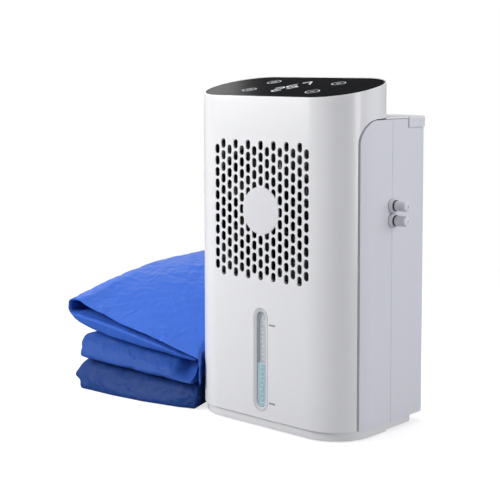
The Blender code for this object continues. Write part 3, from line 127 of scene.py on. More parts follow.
class CoolingUnitSizes(bpy.types.PropertyGroup):
    front_radius: length("Front corners", "Radius of the tower's front corners", 0.0405)
    tower_rear_radius: length("Rear corners", "Radius of the tower's rear corners", 0.040)
    cover_radius: length("Cover corners", "Radius of the rear cover's corners", 0.006)
    top_slope: bpy.props.FloatProperty(
        name="Top slope", description="Rise of the top per length towards the rear", default=0.189
    )
    shell_wall: length("Shell wall", "Wall of the front shell", 0.0026)
    cover_wall: length("Cover wall", "Wall of the side panels and the rear cover", 0.0024)
    groove_reach: length("Groove place", "Reach of the groove behind the front face", 0.0250)
    groove_width: length("Groove width", "Width of the groove at the sides", 0.0022)
    groove_top_width: length("Groove width above", "Width of the groove along the top", 0.0010)
    side_corner: length("Side panel corner", "Radius of a side panel's upper front corner", 0.0205)
    side_seam: length("Side seam", "Reach of the seam to the rear cover", 0.0677)
    panel_rim: length("Panel rim", "White rim round the control panel", 0.0012)
    panel_seat: length("Panel seat", "Depth of the control panel's seat", 0.0025)
    edge: length("Edge round", "Round of the moulded edges", 0.00035)


class GrilleSizes(bpy.types.PropertyGroup):
    columns: bpy.props.IntProperty(name="Columns", description="Columns of slots", default=15)
    rows: bpy.props.IntProperty(name="Rows", description="Slots in an outer column", default=11)
    pitch_x: length("Pitch across", "Distance between columns", 0.0075)
    pitch_z: length("Pitch up", "Distance between slots of a column", 0.01047)
    slot_width: length("Slot width", "Width of a slot", 0.0052)
    slot_height: length("Slot height", "Height of a slot", 0.0085)
    disc_radius: length("Disc", "Radius of the plain disc in the middle", 0.0210)
    thickness: length("Thickness", "Thickness of the shell at the grille", 0.0010)


class WindowSizes(bpy.types.PropertyGroup):
    width: length("Width", "Width of the water window", 0.0163)
    height: length("Height", "Height of the water window", 0.0920)
    chamfer_width: length("Chamfer width", "Width of the bezel's slope", 0.0030)
    chamfer_depth: length("Chamfer depth", "Depth of the bezel's slope", 0.0008)
    flange: length("Flange", "Width of the bezel's flange behind the shell", 0.0025)
    depth: length("Depth", "Depth of the bezel", 0.0046)
    water_level: length("Water level", "Height of the water above the floor", 0.0587)


class Finishes(bpy.types.PropertyGroup):
    shell: colour("Shell", "Gloss ABS of the front shell", "EFEFF0")
    cover: colour("Cover", "Satin ABS of the covers", "E3E4EA")
    disc: colour("Disc", "Plain disc in the grille", "E6E6E9")
    bezel: colour("Bezel", "Grey window bezel", "D8D8DB")
    glass: colour("Panel", "Black control panel", "05060A")
    print_white: colour("Print", "Printed icons and lit digits", "E8EAF0")
    water: colour("Water", "Water in the window", "A4CFDA")
    pad: colour("Pad", "Blue coated nylon of the pad", "3C6CD1")


def add_node(tree, kind, inputs=None, **settings):
    """Add a node with its settings, and set or link its inputs."""
    made = tree.nodes.new(kind)
    for name, value in settings.items():
        setattr(made, name, value)
    for name, value in (inputs or {}).items():
        if isinstance(value, bpy.types.NodeSocket):
            tree.links.new(value, made.inputs[name])
        else:
            made.inputs[name].default_value = value
    return made


def start_material(name):
    """A material with only its shader, and the tree and shader."""
    material = bpy.data.materials.new(name)
    material.use_nodes = True
    return material, material.node_tree, material.node_tree.nodes["Principled BSDF"]


def per_mm(size):
    """Scale of a pattern whose features are this many millimetres wide."""
    return 1000 / size


def moulded(name, tint, roughness, grain, relief, drift=0.03, **sockets):
    """Moulded plastic: a fine grain of the tool, and a slow drift of tone and gloss."""
    material, tree, shader = start_material(name)
    place = add_node(tree, "ShaderNodeTexCoord").outputs["Object"]
    fine = add_node(
        tree,
        "ShaderNodeTexNoise",
        {"Vector": place, "Scale": per_mm(grain), "Detail": 3.0, "Roughness": 0.6},
    )
    slow = add_node(tree, "ShaderNodeTexNoise", {"Vector": place, "Scale": per_mm(70), "Detail": 2.0})
    darker = tuple(channel * (1 - drift) for channel in tint)
    tone = add_node(
        tree,
        "ShaderNodeMix",
        {"Factor": slow.outputs["Fac"], 6: (*darker, 1), 7: (*tint, 1)},
        data_type="RGBA",
    )
    gloss = add_node(
        tree,
        "ShaderNodeMapRange",
        {
            "Value": fine.outputs["Fac"],
            "To Min": max(0.02, roughness - 0.04),
            "To Max": roughness + 0.04,
        },
    )
    bump = add_node(
        tree, "ShaderNodeBump", {"Height": fine.outputs["Fac"], "Strength": 0.5, "Distance": relief},
    )
    tree.links.new(tone.outputs[2], shader.inputs["Base Color"])
    tree.links.new(gloss.outputs["Result"], shader.inputs["Roughness"])
    tree.links.new(bump.outputs["Normal"], shader.inputs["Normal"])
    for socket, value in sockets.items():
        shader.inputs[socket.replace("_", " ")].default_value = value
    return material


def extruded_metal(name, tint, roughness, spacing):
    """Drawn or extruded metal: fine lines along its height, over a slow drift of gloss."""
    material, tree, shader = start_material(name)
    place = add_node(tree, "ShaderNodeTexCoord").outputs["Object"]
    stretched = add_node(tree, "ShaderNodeMapping", {"Vector": place, "Scale": (1.0, 1.0, 0.04)})
    lines = add_node(
        tree,
        "ShaderNodeTexNoise",
        {"Vector": stretched.outputs["Vector"], "Scale": per_mm(spacing), "Detail": 2.0},
    )
    gloss = add_node(
        tree,
        "ShaderNodeMapRange",
        {"Value": lines.outputs["Fac"], "To Min": roughness - 0.08, "To Max": roughness + 0.08},
    )
    bump = add_node(
        tree, "ShaderNodeBump", {"Height": lines.outputs["Fac"], "Strength": 0.3, "Distance": 0.00005},
    )
    tree.links.new(gloss.outputs["Result"], shader.inputs["Roughness"])
    tree.links.new(bump.outputs["Normal"], shader.inputs["Normal"])
    shader.inputs["Base Color"].default_value = (*tint, 1)
    shader.inputs["Metallic"].default_value = 1.0
    return material


def coated_nylon(name, tint):
    """Nylon taffeta with a smooth coating: thread lines, soft crumples and a slow drift of tone.

    The threads are about 0.2 mm apart on the real cloth and are drawn at 0.9 mm, so that they show.
    """
    material, tree, shader = start_material(name)
    place = add_node(tree, "ShaderNodeTexCoord").outputs["Object"]
    warp = add_node(
        tree,
        "ShaderNodeTexWave",
        {"Vector": place, "Scale": per_mm(0.9) / 20, "Distortion": 0.6, "Detail": 1.0},
        bands_direction="X",
    )
    weft = add_node(
        tree,
        "ShaderNodeTexWave",
        {"Vector": place, "Scale": per_mm(0.9) / 20, "Distortion": 0.6, "Detail": 1.0},
        bands_direction="Y",
    )
    weave = add_node(
        tree, "ShaderNodeMath", {0: warp.outputs["Fac"], 1: weft.outputs["Fac"]}, operation="MULTIPLY",
    )
    crumple = add_node(
        tree,
        "ShaderNodeTexNoise",
        {"Vector": place, "Scale": per_mm(16), "Detail": 5.0, "Roughness": 0.55, "Distortion": 0.7},
    )
    slow = add_node(tree, "ShaderNodeTexNoise", {"Vector": place, "Scale": per_mm(60), "Detail": 3.0})
    deeper = tuple(channel * 0.78 for channel in tint)
    tone = add_node(
        tree,
        "ShaderNodeMix",
        {"Factor": slow.outputs["Fac"], 6: (*deeper, 1), 7: (*tint, 1)},
        data_type="RGBA",
    )
    soft = add_node(
        tree, "ShaderNodeBump", {"Height": crumple.outputs["Fac"], "Strength": 0.6, "Distance": 0.0016},
    )
    threads = add_node(
        tree,
        "ShaderNodeBump",
        {
            "Height": weave.outputs["Value"],
            "Strength": 0.25,
            "Distance": 0.00012,
            "Normal": soft.outputs["Normal"],
        },
    )
    gloss = add_node(
        tree, "ShaderNodeMapRange", {"Value": crumple.outputs["Fac"], "To Min": 0.42, "To Max": 0.58},
    )
    tree.links.new(tone.outputs[2], shader.inputs["Base Color"])
    tree.links.new(gloss.outputs["Result"], shader.inputs["Roughness"])
    tree.links.new(threads.outputs["Normal"], shader.inputs["Normal"])
    shader.inputs["Sheen Weight"].default_value = 0.02
    shader.inputs["Sheen Roughness"].default_value = 0.45
    shader.inputs["Specular IOR Level"].default_value = 0.10
    return material


materials = {}


def make_materials(finishes):
    """One material per finish of the record, and those of the scene's own small pieces."""
    shell = tuple(finishes.shell)
    cover = tuple(finishes.cover)
    # Gloss ABS from a polished tool: almost smooth, with a clear highlight
    materials["white_gloss"] = moulded("gloss_white_abs", shell, 0.26, 0.8, 0.00001)
    # Satin ABS from a spark-eroded tool: a fine grain that softens the highlight
    materials["white_satin"] = moulded("satin_white_abs", cover, 0.42, 0.6, 0.00003)
    # The disc takes the same gloss, a shade darker
    materials["disc"] = moulded("grey_white_abs", tuple(finishes.disc), 0.30, 0.8, 0.00001)
    # Satin grey ABS of the window's frame
    materials["grey_satin"] = moulded("satin_grey_abs", tuple(finishes.bezel), 0.38, 0.6, 0.00002)
    # Acrylic printed black on its back: deep, with a soft gloss and faint wipe marks
    materials["black_glass"] = moulded(
        "black_back_printed_acrylic", tuple(finishes.glass), 0.20, 6, 0.000002,
        Specular_IOR_Level=0.0016,
    )
    # Screen print and lit segments under the acrylic
    materials["print_white"] = moulded(
        "white_screen_print", tuple(finishes.print_white), 0.5, 0.5, 0.00001
    )
    # Clear polycarbonate lens: barely tinted, shows what lies behind it
    materials["clear_lens"] = moulded(
        "clear_polycarbonate", linear("DCEBF0"), 0.08, 3, 0.000002, Alpha=0.16
    )
    # Natural polypropylene: milky and slightly waxy
    materials["milky_plastic"] = moulded(
        "natural_polypropylene", linear("D6DBDE"), 0.38, 0.7, 0.00002, Subsurface_Weight=0.1
    )
    # Black glass-filled nylon of fan and pump
    materials["dark_plastic"] = moulded("black_glass_filled_nylon", linear("101114"), 0.5, 0.5, 0.00004)
    # Dark thermoplastic rubber: matte, slightly dusty
    materials["grey_rubber"] = moulded("dark_moulded_rubber", linear("3A3B3E"), 0.8, 0.4, 0.00005, 0.2)
    # Soft clear vinyl hose: cloudy with a soft gloss
    materials["clear_hose"] = moulded(
        "soft_clear_vinyl", linear("C8D2D6"), 0.30, 2, 0.00002, Transmission_Weight=0.2
    )
    # Extruded aluminium with die lines
    materials["bare_aluminium"] = extruded_metal("extruded_aluminium", linear("C9CBCE"), 0.38, 0.5)
    # Drawn stainless steel of pins, clamp and screws
    materials["bright_steel"] = extruded_metal("drawn_stainless_steel", linear("B9BABD"), 0.28, 0.3)
    # Green solder mask on glass-epoxy board: the glass weave prints through
    materials["board_green"] = moulded("green_solder_mask", linear("145A32"), 0.35, 0.5, 0.00004, 0.15)
    # Unglazed alumina of the cooling module's plates
    materials["ceramic_white"] = moulded("unglazed_alumina", linear("E8E6DC"), 0.7, 0.3, 0.00004)
    # Smoked filter of the display
    materials["display_grey"] = moulded("smoked_acrylic", linear("202126"), 0.25, 2, 0.00001)
    # Water with a little blue, seen through the sight pane
    materials["water"] = moulded("window_water", tuple(finishes.water), 0.12, 12, 0.00002)
    # Pale wall of the level gauge above the water
    materials["dry_tank"] = moulded("shaded_tank_wall", linear("DEDEE0"), 0.45, 1.0, 0.00002)
    # Grey lining of the level gauge: painted shade, a grey sheet that stands in for the shadow on the
    # gauge's wall above the water
    materials["gauge_painted_shade"] = moulded("painted_shade_gauge_lining", linear("9FA0A4"), 0.5, 0.6, 0.00002)
    # Dark marks printed beside the window
    materials["print_grey"] = moulded("grey_screen_print", linear("6E7078"), 0.5, 0.5, 0.00001)
    # Coated nylon taffeta of the pad, and darker copies of it with painted shade for the two lower bundles
    pad = tuple(finishes.pad)
    materials["blue_fabric"] = coated_nylon("blue_coated_nylon", pad)
    for name, shade in (("fabric_middle", 0.66), ("fabric_lowest", 0.38)):
        tint = tuple(channel * shade for channel in pad)
        materials[name] = coated_nylon(name.replace("fabric", "blue_coated_nylon"), tint)


@contextlib.contextmanager
def mesh_edit(obj):
    """A bmesh of an object's mesh, written back when its block ends."""
    work = bmesh.new()
    work.from_mesh(obj.data)
    yield work
    work.to_mesh(obj.data)
    work.free()


def new_object(name, work):
    """An object from a bmesh, linked to the scene."""
    mesh = bpy.data.meshes.new(name)
    work.to_mesh(mesh)
    work.free()
    made = bpy.data.objects.new(name, mesh)
    bpy.context.scene.collection.objects.link(made)
    return made


def apply_modifiers(obj):
    """Put the result of an object's modifiers in its mesh."""
    bpy.context.view_layer.update()
    evaluated = obj.evaluated_get(bpy.context.evaluated_depsgraph_get())
    mesh = bpy.data.meshes.new_from_object(evaluated)
    mesh.name = obj.name
    obj.modifiers.clear()
    obj.data = mesh


def combine(target, operation, others):
    """Cut, join or intersect an object with others, which are used up."""
    for other in others:
        modifier = target.modifiers.new(other.name, "BOOLEAN")
        modifier.object = other
        modifier.operation = operation
        modifier.solver = "EXACT"
    apply_modifiers(target)
    for other in others:
        bpy.data.objects.remove(other)
    return target


def cut(target, *others):
    return combine(target, "DIFFERENCE", others)


def join(target, *others):
    return combine(target, "UNION", others)


def keep(target, *others):
    return combine(target, "INTERSECT", others)


def add_piece(obj, finish, body="unit", nodes=(), edge=0.0, angle=35, slot=None):
    """Finish a piece: smooth shading, rounded edges, material, body and the nodes it stands for."""
    with mesh_edit(obj) as work:
        bmesh.ops.remove_doubles(work, verts=work.verts, dist=0.000002)
        bmesh.ops.recalc_face_normals(work, faces=work.faces)
    obj.data.shade_smooth()
    obj.data.materials.clear()
    obj.data.materials.append(materials[finish])
    if edge:
        rounding = obj.modifiers.new("rounded_edges", "BEVEL")
        rounding.width = edge
        rounding.segments = 2
        rounding.limit_method = "ANGLE"
        rounding.angle_limit = math.radians(angle)
        rounding.miter_outer = "MITER_ARC"
        weighted = obj.modifiers.new("flat_faces_stay_flat", "WEIGHTED_NORMAL")
        weighted.weight = 90
        weighted.thresh = 0.01
    else:
        obj.data.set_sharp_from_angle(angle=math.radians(angle))
    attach(obj, body)
    if nodes:
        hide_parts(*nodes)
    slot = slot or finish


def edges_along(work, axis, low=None, high=None):
    """Edges that run along an axis, between two corners of a box where they are given."""
    found = []
    for edge in work.edges:
        run = edge.verts[1].co - edge.verts[0].co
        if abs(run[axis]) < 0.999 * run.length:
            continue
        middle = (edge.verts[0].co + edge.verts[1].co) / 2
        if low and any(middle[i] < low[i] for i in range(3)):
            continue
        if high and any(middle[i] > high[i] for i in range(3)):
            continue
        found.append(edge)
    return found


def round_off(work, edges, radius, segments):
    """Give edges a round of a radius."""
    bmesh.ops.bevel(
        work,
        geom=edges,
        offset=radius,
        offset_type="OFFSET",
        segments=segments,
        profile=0.5,
        affect="EDGES",
        material=-1,
        clamp_overlap=False,
    )


def start_block(low, high):
    """A bmesh with a block between two corners."""
    work = bmesh.new()
    low = Vector(low)
    high = Vector(high)
    bmesh.ops.create_cube(work, size=1.0)
    bmesh.ops.scale(work, vec=high - low, verts=work.verts)
    bmesh.ops.translate(work, vec=(low + high) / 2, verts=work.verts)
    return work


def block(name, low, high):
    return new_object(name, start_block(low, high))


def plan_block(name, inset, front, rear, low, high, front_radius, rear_radius, segments=20):
    """Block that follows the unit's outline in plan, moved inwards, with its round corners."""
    x = half_width - inset
    work = start_block((-x, front, low), (x, rear, high))
    middle = (front + rear) / 2
    if front_radius > 0:
        edges = [e for e in edges_along(work, 2) if e.verts[0].co.y < middle]
        round_off(work, edges, front_radius, segments)
    if rear_radius > 0:
        edges = [e for e in edges_along(work, 2) if e.verts[0].co.y > middle and
                 abs(abs(e.verts[0].co.x) - x) < 0.00001 and abs(e.verts[0].co.y - rear) < 0.00001]
        round_off(work, edges, rear_radius, segments)
    return new_object(name, work)


def tower_block(name, sizes, inset, low, high):
    """The tower's outline, moved inwards, as a block."""
    rear = front_y + tower_depth - inset
    return plan_block(
        name, inset, front_y + inset, rear, low, high,
        sizes.front_radius - inset, sizes.tower_rear_radius - inset,
    )


def slope_top(obj, above, sizes):
    """Raise what lies above a height by the slope of the unit's top."""
    for vertex in obj.data.vertices:
        if vertex.co.z > above:
            vertex.co.z += sizes.top_slope * (vertex.co.y - front_y)
    return obj


def side_block(name, front, top, radius, rear, bottom, low_x, high_x):
    """Block with a round upper front corner, seen from the side."""
    work = start_block((low_x, front, bottom), (high_x, rear, top))
    middle_y = (front + rear) / 2
    middle_z = (bottom + top) / 2
    edges = [
        e for e in edges_along(work, 0)
        if e.verts[0].co.y < middle_y and e.verts[0].co.z > middle_z
    ]
    round_off(work, edges, radius, 16)
    return new_object(name, work)


def corner_band(name, front, top, radius, width, rear, bottom, low_x, high_x):
    """Band of one width along a side block's front and top."""
    band = side_block(name, front, top, radius, rear, bottom, low_x, high_x)
    inner = side_block(
        name + "_inner", front + width, top - width, radius - width,
        rear + overrun, bottom - overrun, low_x - overrun, high_x + overrun,
    )
    return cut(band, inner)


def slot_face(work, centre, width, height, y, segments=40):
    """Upright slot shape with round ends as one face that looks to the front."""
    half_step = math.pi / segments
    turn = Matrix.Rotation(math.radians(90), 4, "X") @ Matrix.Rotation(half_step, 4, "Z")
    place = Matrix.Translation((centre[0], y, centre[1]))
    made = bmesh.ops.create_circle(
        work, cap_ends=True, segments=segments, radius=width / 2 / math.cos(half_step),
        matrix=place @ turn,
    )
    rise = (height - width) / 2
    for vertex in made["verts"]:
        vertex.co.z += rise if vertex.co.z > centre[1] else -rise
    return made["verts"][0].link_faces[0]


def pull_face(work, face, y):
    """Extrude a face along Y and return the face at the new end."""
    inside = all(len(edge.link_faces) > 1 for edge in face.edges)
    made = bmesh.ops.extrude_face_region(work, geom=[face])["geom"]
    vertices = [item for item in made if isinstance(item, bmesh.types.BMVert)]
    faces = [item for item in made if isinstance(item, bmesh.types.BMFace)]
    if inside and face.is_valid:
        bmesh.ops.delete(work, geom=[face], context="FACES_ONLY")
    bmesh.ops.translate(work, vec=(0, y - vertices[0].co.y, 0), verts=vertices)
    return faces[0]


def slot_block(name, centre, width, height, front, rear, segments=40):
    """Slot shape from front to rear."""
    work = bmesh.new()
    pull_face(work, slot_face(work, centre, width, height, front, segments), rear)
    bmesh.ops.recalc_face_normals(work, faces=work.faces)
    return new_object(name, work)


def turned(name, profile, base, axis, steps=48):
    """Profile of (radius, run) pairs turned about an axis through base."""
    turns = {
        "X": Matrix.Rotation(math.radians(90), 4, "Y"),
        "Y": Matrix.Rotation(math.radians(-90), 4, "X"),
        "Z": Matrix.Identity(4),
    }
    work = bmesh.new()
    vertices = [work.verts.new((radius, 0, run)) for radius, run in profile]
    edges = [work.edges.new(pair) for pair in zip(vertices, vertices[1:])]
    bmesh.ops.spin(
        work, geom=vertices + edges, cent=(0, 0, 0), axis=(0, 0, 1),
        angle=2 * math.pi, steps=steps, use_merge=True,
    )
    bmesh.ops.remove_doubles(work, verts=work.verts, dist=0.000002)
    bmesh.ops.transform(work, matrix=Matrix.Translation(base) @ turns[axis], verts=work.verts)
    bmesh.ops.recalc_face_normals(work, faces=work.faces)
    return new_object(name, work)


class COOLINGPAD_OT_materials(bpy.types.Operator):
    """Make the finishes of all pieces"""

    bl_idname = "coolingpad.materials"
    bl_label = "Finishes"

    def execute(self, context):
        make_materials(context.scene.pad_finishes)
        return {"FINISHED"}


class COOLINGPAD_OT_front_shell(bpy.types.Operator):
    """Build the front shell with its grille, window slot, side openings and panel seat"""

    bl_idname = "coolingpad.front_shell"
    bl_label = "Front shell"

    def execute(self, context):
        sizes = context.scene.unit_sizes
        grille = context.scene.grille_sizes
        window = context.scene.window_sizes
        front_height = shell_high.z - sizes.top_slope * tower_depth
        shell = slope_top(
            tower_block("front_shell_skin", sizes, 0, body_bottom, front_height),
            body_bottom + overrun, sizes,
        )
        seat_floor = 0.002
        roof = front_height - sizes.panel_seat - seat_floor
        cavity = slope_top(
            tower_block("cavity", sizes, sizes.shell_wall, body_bottom - overrun, roof),
            body_bottom + overrun, sizes,
        )
        seat = slope_top(
            tower_block(
                "seat", sizes, sizes.panel_rim, front_height - sizes.panel_seat, front_height + overrun,
            ),
            body_bottom, sizes,
        )
        opening_half_width = 0.05
        opening_front, opening_rear = front_y + 0.016, front_y + 0.070
        opening = slope_top(
            block(
                "opening", (-opening_half_width, opening_front, roof - overrun),
                (opening_half_width, opening_rear, front_height),
            ),
            body_bottom, sizes,
        )
        sides = side_block(
            "sides", front_y + sizes.groove_reach - sizes.groove_width / 2,
            panel_top + sizes.groove_top_width, sizes.side_corner + sizes.groove_top_width,
            rear_y + overrun, body_bottom - overrun, -half_width - overrun, half_width + overrun,
        )
        slot = slot_block(
            "window_slot", (0, window_middle), window.width + 2 * fit_gap,
            window.height + 2 * fit_gap, front_y - overrun, front_y + sizes.shell_wall + overrun,
        )
        thinning = block(
            "thinning", (fan_low.x, front_y + grille.thickness, fan_low.z),
            (fan_high.x, front_y + sizes.shell_wall + overrun, fan_high.z),
        )
        cut(shell, cavity, seat, opening, sides, slot, thinning, self.grille_slots(grille))
        add_piece(shell, "white_gloss", nodes=["front_shell"], edge=sizes.edge)
        return {"FINISHED"}

    def grille_slots(self, grille):
        """Staggered slots, without what the plain disc covers."""
        work = bmesh.new()
        for column in range(grille.columns):
            rows = grille.rows + column % 2
            x = (column - (grille.columns - 1) / 2) * grille.pitch_x
            for row in range(rows):
                z = fan_middle + (row - (rows - 1) / 2) * grille.pitch_z
                if math.hypot(x, z - fan_middle) < grille.disc_radius - grille.slot_height / 2:
                    continue
                face = slot_face(
                    work, (x, z), grille.slot_width, grille.slot_height, front_y - overrun, 20
                )
                pull_face(work, face, front_y + 2 * overrun)
        bmesh.ops.recalc_face_normals(work, faces=work.faces)
        slots = new_object("grille_slots", work)
        disc = turned(
            "disc_stop",
            [
                (0, -2 * overrun),
                (grille.disc_radius, -2 * overrun),
                (grille.disc_radius, 4 * overrun),
                (0, 4 * overrun),
            ],
            (0, front_y, fan_middle), "Y", 96,
        )
        return cut(slots, disc)


class COOLINGPAD_OT_grille_disc(bpy.types.Operator):
    """Build the plain disc in the middle of the grille"""

    bl_idname = "coolingpad.grille_disc"
    bl_label = "Grille disc"

    def execute(self, context):
        radius = context.scene.grille_sizes.disc_radius
        round_in = 0.0004
        profile = [
            (0, -0.0002),
            (radius - round_in - 0.0001, -0.0002),
            (radius - 0.0001, 0.0001),
            (radius - 0.0001, 0.0006),
            (0, 0.0006),
        ]
        disc = turned("grille_disc", profile, (0, front_y, fan_middle), "Y", 96)
        add_piece(disc, "disc")
        return {"FINISHED"}


class COOLINGPAD_OT_side_panels(bpy.types.Operator):
    """Build the two side panels, each with the returned lip that closes the groove"""

    bl_idname = "coolingpad.side_panels"
    bl_label = "Side panels"

    def execute(self, context):
        sizes = context.scene.unit_sizes
        for word, side in (("left", -1), ("right", 1)):
            self.side_panel(sizes, word, side)
        return {"FINISHED"}

    def side_panel(self, sizes, word, side):
        """Skin with a lip behind it, joined by a web."""
        front = front_y + sizes.groove_reach + sizes.groove_width / 2
        end = front_y + sizes.side_seam - fit_gap / 2
        ends = sorted((side * (half_width - sizes.front_radius), side * (half_width + overrun)))
        wall = sizes.cover_wall
        skin = cut(
            plan_block(
                "side_skin_" + word, 0, front_y, rear_y, body_bottom, panel_top, sizes.front_radius, 0
            ),
            plan_block(
                "inside", wall, front_y + wall, rear_y - wall, body_bottom - overrun,
                panel_top + overrun, sizes.front_radius - wall, 0,
            ),
        )
        view = side_block(
            "view", front, panel_top, sizes.side_corner, end, body_bottom - overrun, *ends
        )
        keep(skin, view)
        lip_gap = sizes.shell_wall + fit_gap
        lip_wall = 0.0017
        lip_reach = 0.0045
        lip_root = 0.0025
        lip_end = front + sizes.side_corner + 0.0015
        rear = front_y + tower_depth
        lip = self.ring(sizes, "lip", lip_gap, lip_wall, body_bottom, panel_top + lip_reach, rear)
        keep(
            lip,
            corner_band(
                "lip_view", front - lip_reach, panel_top + lip_reach, sizes.side_corner + lip_reach,
                lip_reach + lip_root, lip_end, body_bottom - overrun, *ends,
            ),
        )
        web = self.ring(
            sizes, "web", wall / 2, lip_gap + (lip_wall - wall) / 2, body_bottom + 0.0004,
            panel_top, rear,
        )
        setback = 0.0004
        keep(
            web,
            corner_band(
                "web_view", front + setback, panel_top - setback, sizes.side_corner - setback,
                lip_root - 2 * setback, lip_end - 0.00075, body_bottom - overrun, *ends,
            ),
        )
        join(skin, web, lip)
        if side > 0:
            cut(skin, *connector_holes())
        add_piece(skin, "white_satin", nodes=["side_panel_" + word], edge=sizes.edge)

    def ring(self, sizes, name, inset, wall, low, high, rear):
        """Upright wall that follows the unit's outline at an inset."""
        outer = plan_block(name, inset, front_y + inset, rear, low, high, sizes.front_radius - inset, 0)
        far = inset + wall
        inner = plan_block(
            name + "_inside", far, front_y + far, rear - wall, low - overrun, high + overrun,
            sizes.front_radius - far, 0,
        )
        return cut(outer, inner)


def connector_places():
    """Middle of each hose connector's outer end and its height."""
    places = []
    for word in ("upper", "lower"):
        low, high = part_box("hose_connector_" + word)
        places.append((word, (low.y + high.y) / 2, (low.z + high.z) / 2))
    return places


def hole_profile(radius):
    """Profile of a round hole from inside a wall to past its face."""
    return [(0, -port_depth), (radius, -port_depth), (radius, overrun), (0, overrun)]


def connector_holes():
    """Round holes for the connectors' necks in the side seam."""
    holes = []
    for word, y, z in connector_places():
        profile = hole_profile(connector_hole_radius)
        holes.append(turned("hole_" + word, profile, (half_width, y, z), "X", 40))
    return holes


class COOLINGPAD_OT_rear_cover(bpy.types.Operator):
    """Build the rear cover with louvres, filler hole, hinge knuckles and ports"""

    bl_idname = "coolingpad.rear_cover"
    bl_label = "Rear cover"

    def execute(self, context):
        sizes = context.scene.unit_sizes
        wall = sizes.cover_wall
        front = front_y + sizes.side_seam + fit_gap / 2
        cover = plan_block(
            "rear_cover_skin", 0, front, rear_y, body_bottom, panel_top, 0, sizes.cover_radius, 10
        )
        cavity = plan_block(
            "cavity", wall, front - overrun, rear_y - wall, body_bottom + wall,
            panel_top - cover_roof, 0, sizes.cover_radius - wall, 10,
        )
        rebate_front = lid_front - lid_play
        rebate_inset = lid_wall - lid_proud + lid_play
        skirt_low = lid_low.z
        rebate = cut(
            plan_block(
                "rebate", -lid_proud - overrun, rebate_front, rear_y + lid_proud + overrun,
                skirt_low - 2 * lid_play, lid_high.z + overrun, 0, 0,
            ),
            plan_block(
                "rebate_core", rebate_inset, rebate_front - overrun, rear_y - rebate_inset,
                skirt_low - overrun, lid_high.z + 2 * overrun, 0, sizes.cover_radius - rebate_inset, 10,
            ),
        )
        channel = block(
            "channel", (-half_width - overrun, rebate_front, hinge_z - hinge_radius - lid_play),
            (half_width + overrun, hinge_y + hinge_radius + lid_play, lid_high.z),
        )
        filler = block(
            "filler",
            (-filler_half_width, filler_y - filler_half_depth, panel_top - cover_roof - overrun),
            (filler_half_width, filler_y + filler_half_depth, lid_high.z),
        )
        cut(cover, cavity, rebate, channel, filler)
        for side in (-1, 1):
            knuckle_low = side * hinge_knuckle_x - hinge_knuckle_width / 2
            knuckle = turned(
                "knuckle",
                [
                    (0, 0),
                    (hinge_radius, 0),
                    (hinge_radius, hinge_knuckle_width),
                    (0, hinge_knuckle_width),
                ],
                (knuckle_low, hinge_y, hinge_z), "X", 32,
            )
            foot_sink = 0.0025
            foot = block(
                "foot", (knuckle_low, hinge_y - hinge_radius, panel_top - foot_sink),
                (knuckle_low + hinge_knuckle_width, hinge_y + hinge_radius, hinge_z),
            )
            join(cover, foot, knuckle)
        cut(cover, self.louvres(wall), *connector_holes(), *self.ports())
        add_piece(cover, "white_satin", nodes=["rear_cover"], edge=sizes.edge)
        return {"FINISHED"}

    def louvres(self, wall):
        """Two columns of level air slots."""
        work = bmesh.new()
        first = tank_top_high + 0.0237
        rows, pitch = 18, 0.0064
        length_x, height, middle_x = 0.046, 0.0026, 0.059
        for side in (-1, 1):
            for row in range(rows):
                low_z = first + row * pitch
                made = bmesh.ops.create_cube(work, size=1.0)["verts"]
                bmesh.ops.scale(work, vec=(length_x, wall + 2 * overrun, height), verts=made)
                middle = (side * middle_x, rear_y - wall / 2, low_z + height / 2)
                bmesh.ops.translate(work, vec=middle, verts=made)
        upright = edges_along(work, 1)
        round_off(work, upright, 0.0012, 5)
        return new_object("louvres", work)

    def ports(self):
        """Holes of the power inlet and of the drain spout."""
        ports = []
        for node, radius in port_radii.items():
            low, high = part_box(node)
            place = ((low.x + high.x) / 2, rear_y, (low.z + high.z) / 2)
            if node == "drain_plug":
                place = (0, rear_y, drain_height)
            ports.append(turned("port_" + node, hole_profile(radius), place, "Y", 40))
        return ports


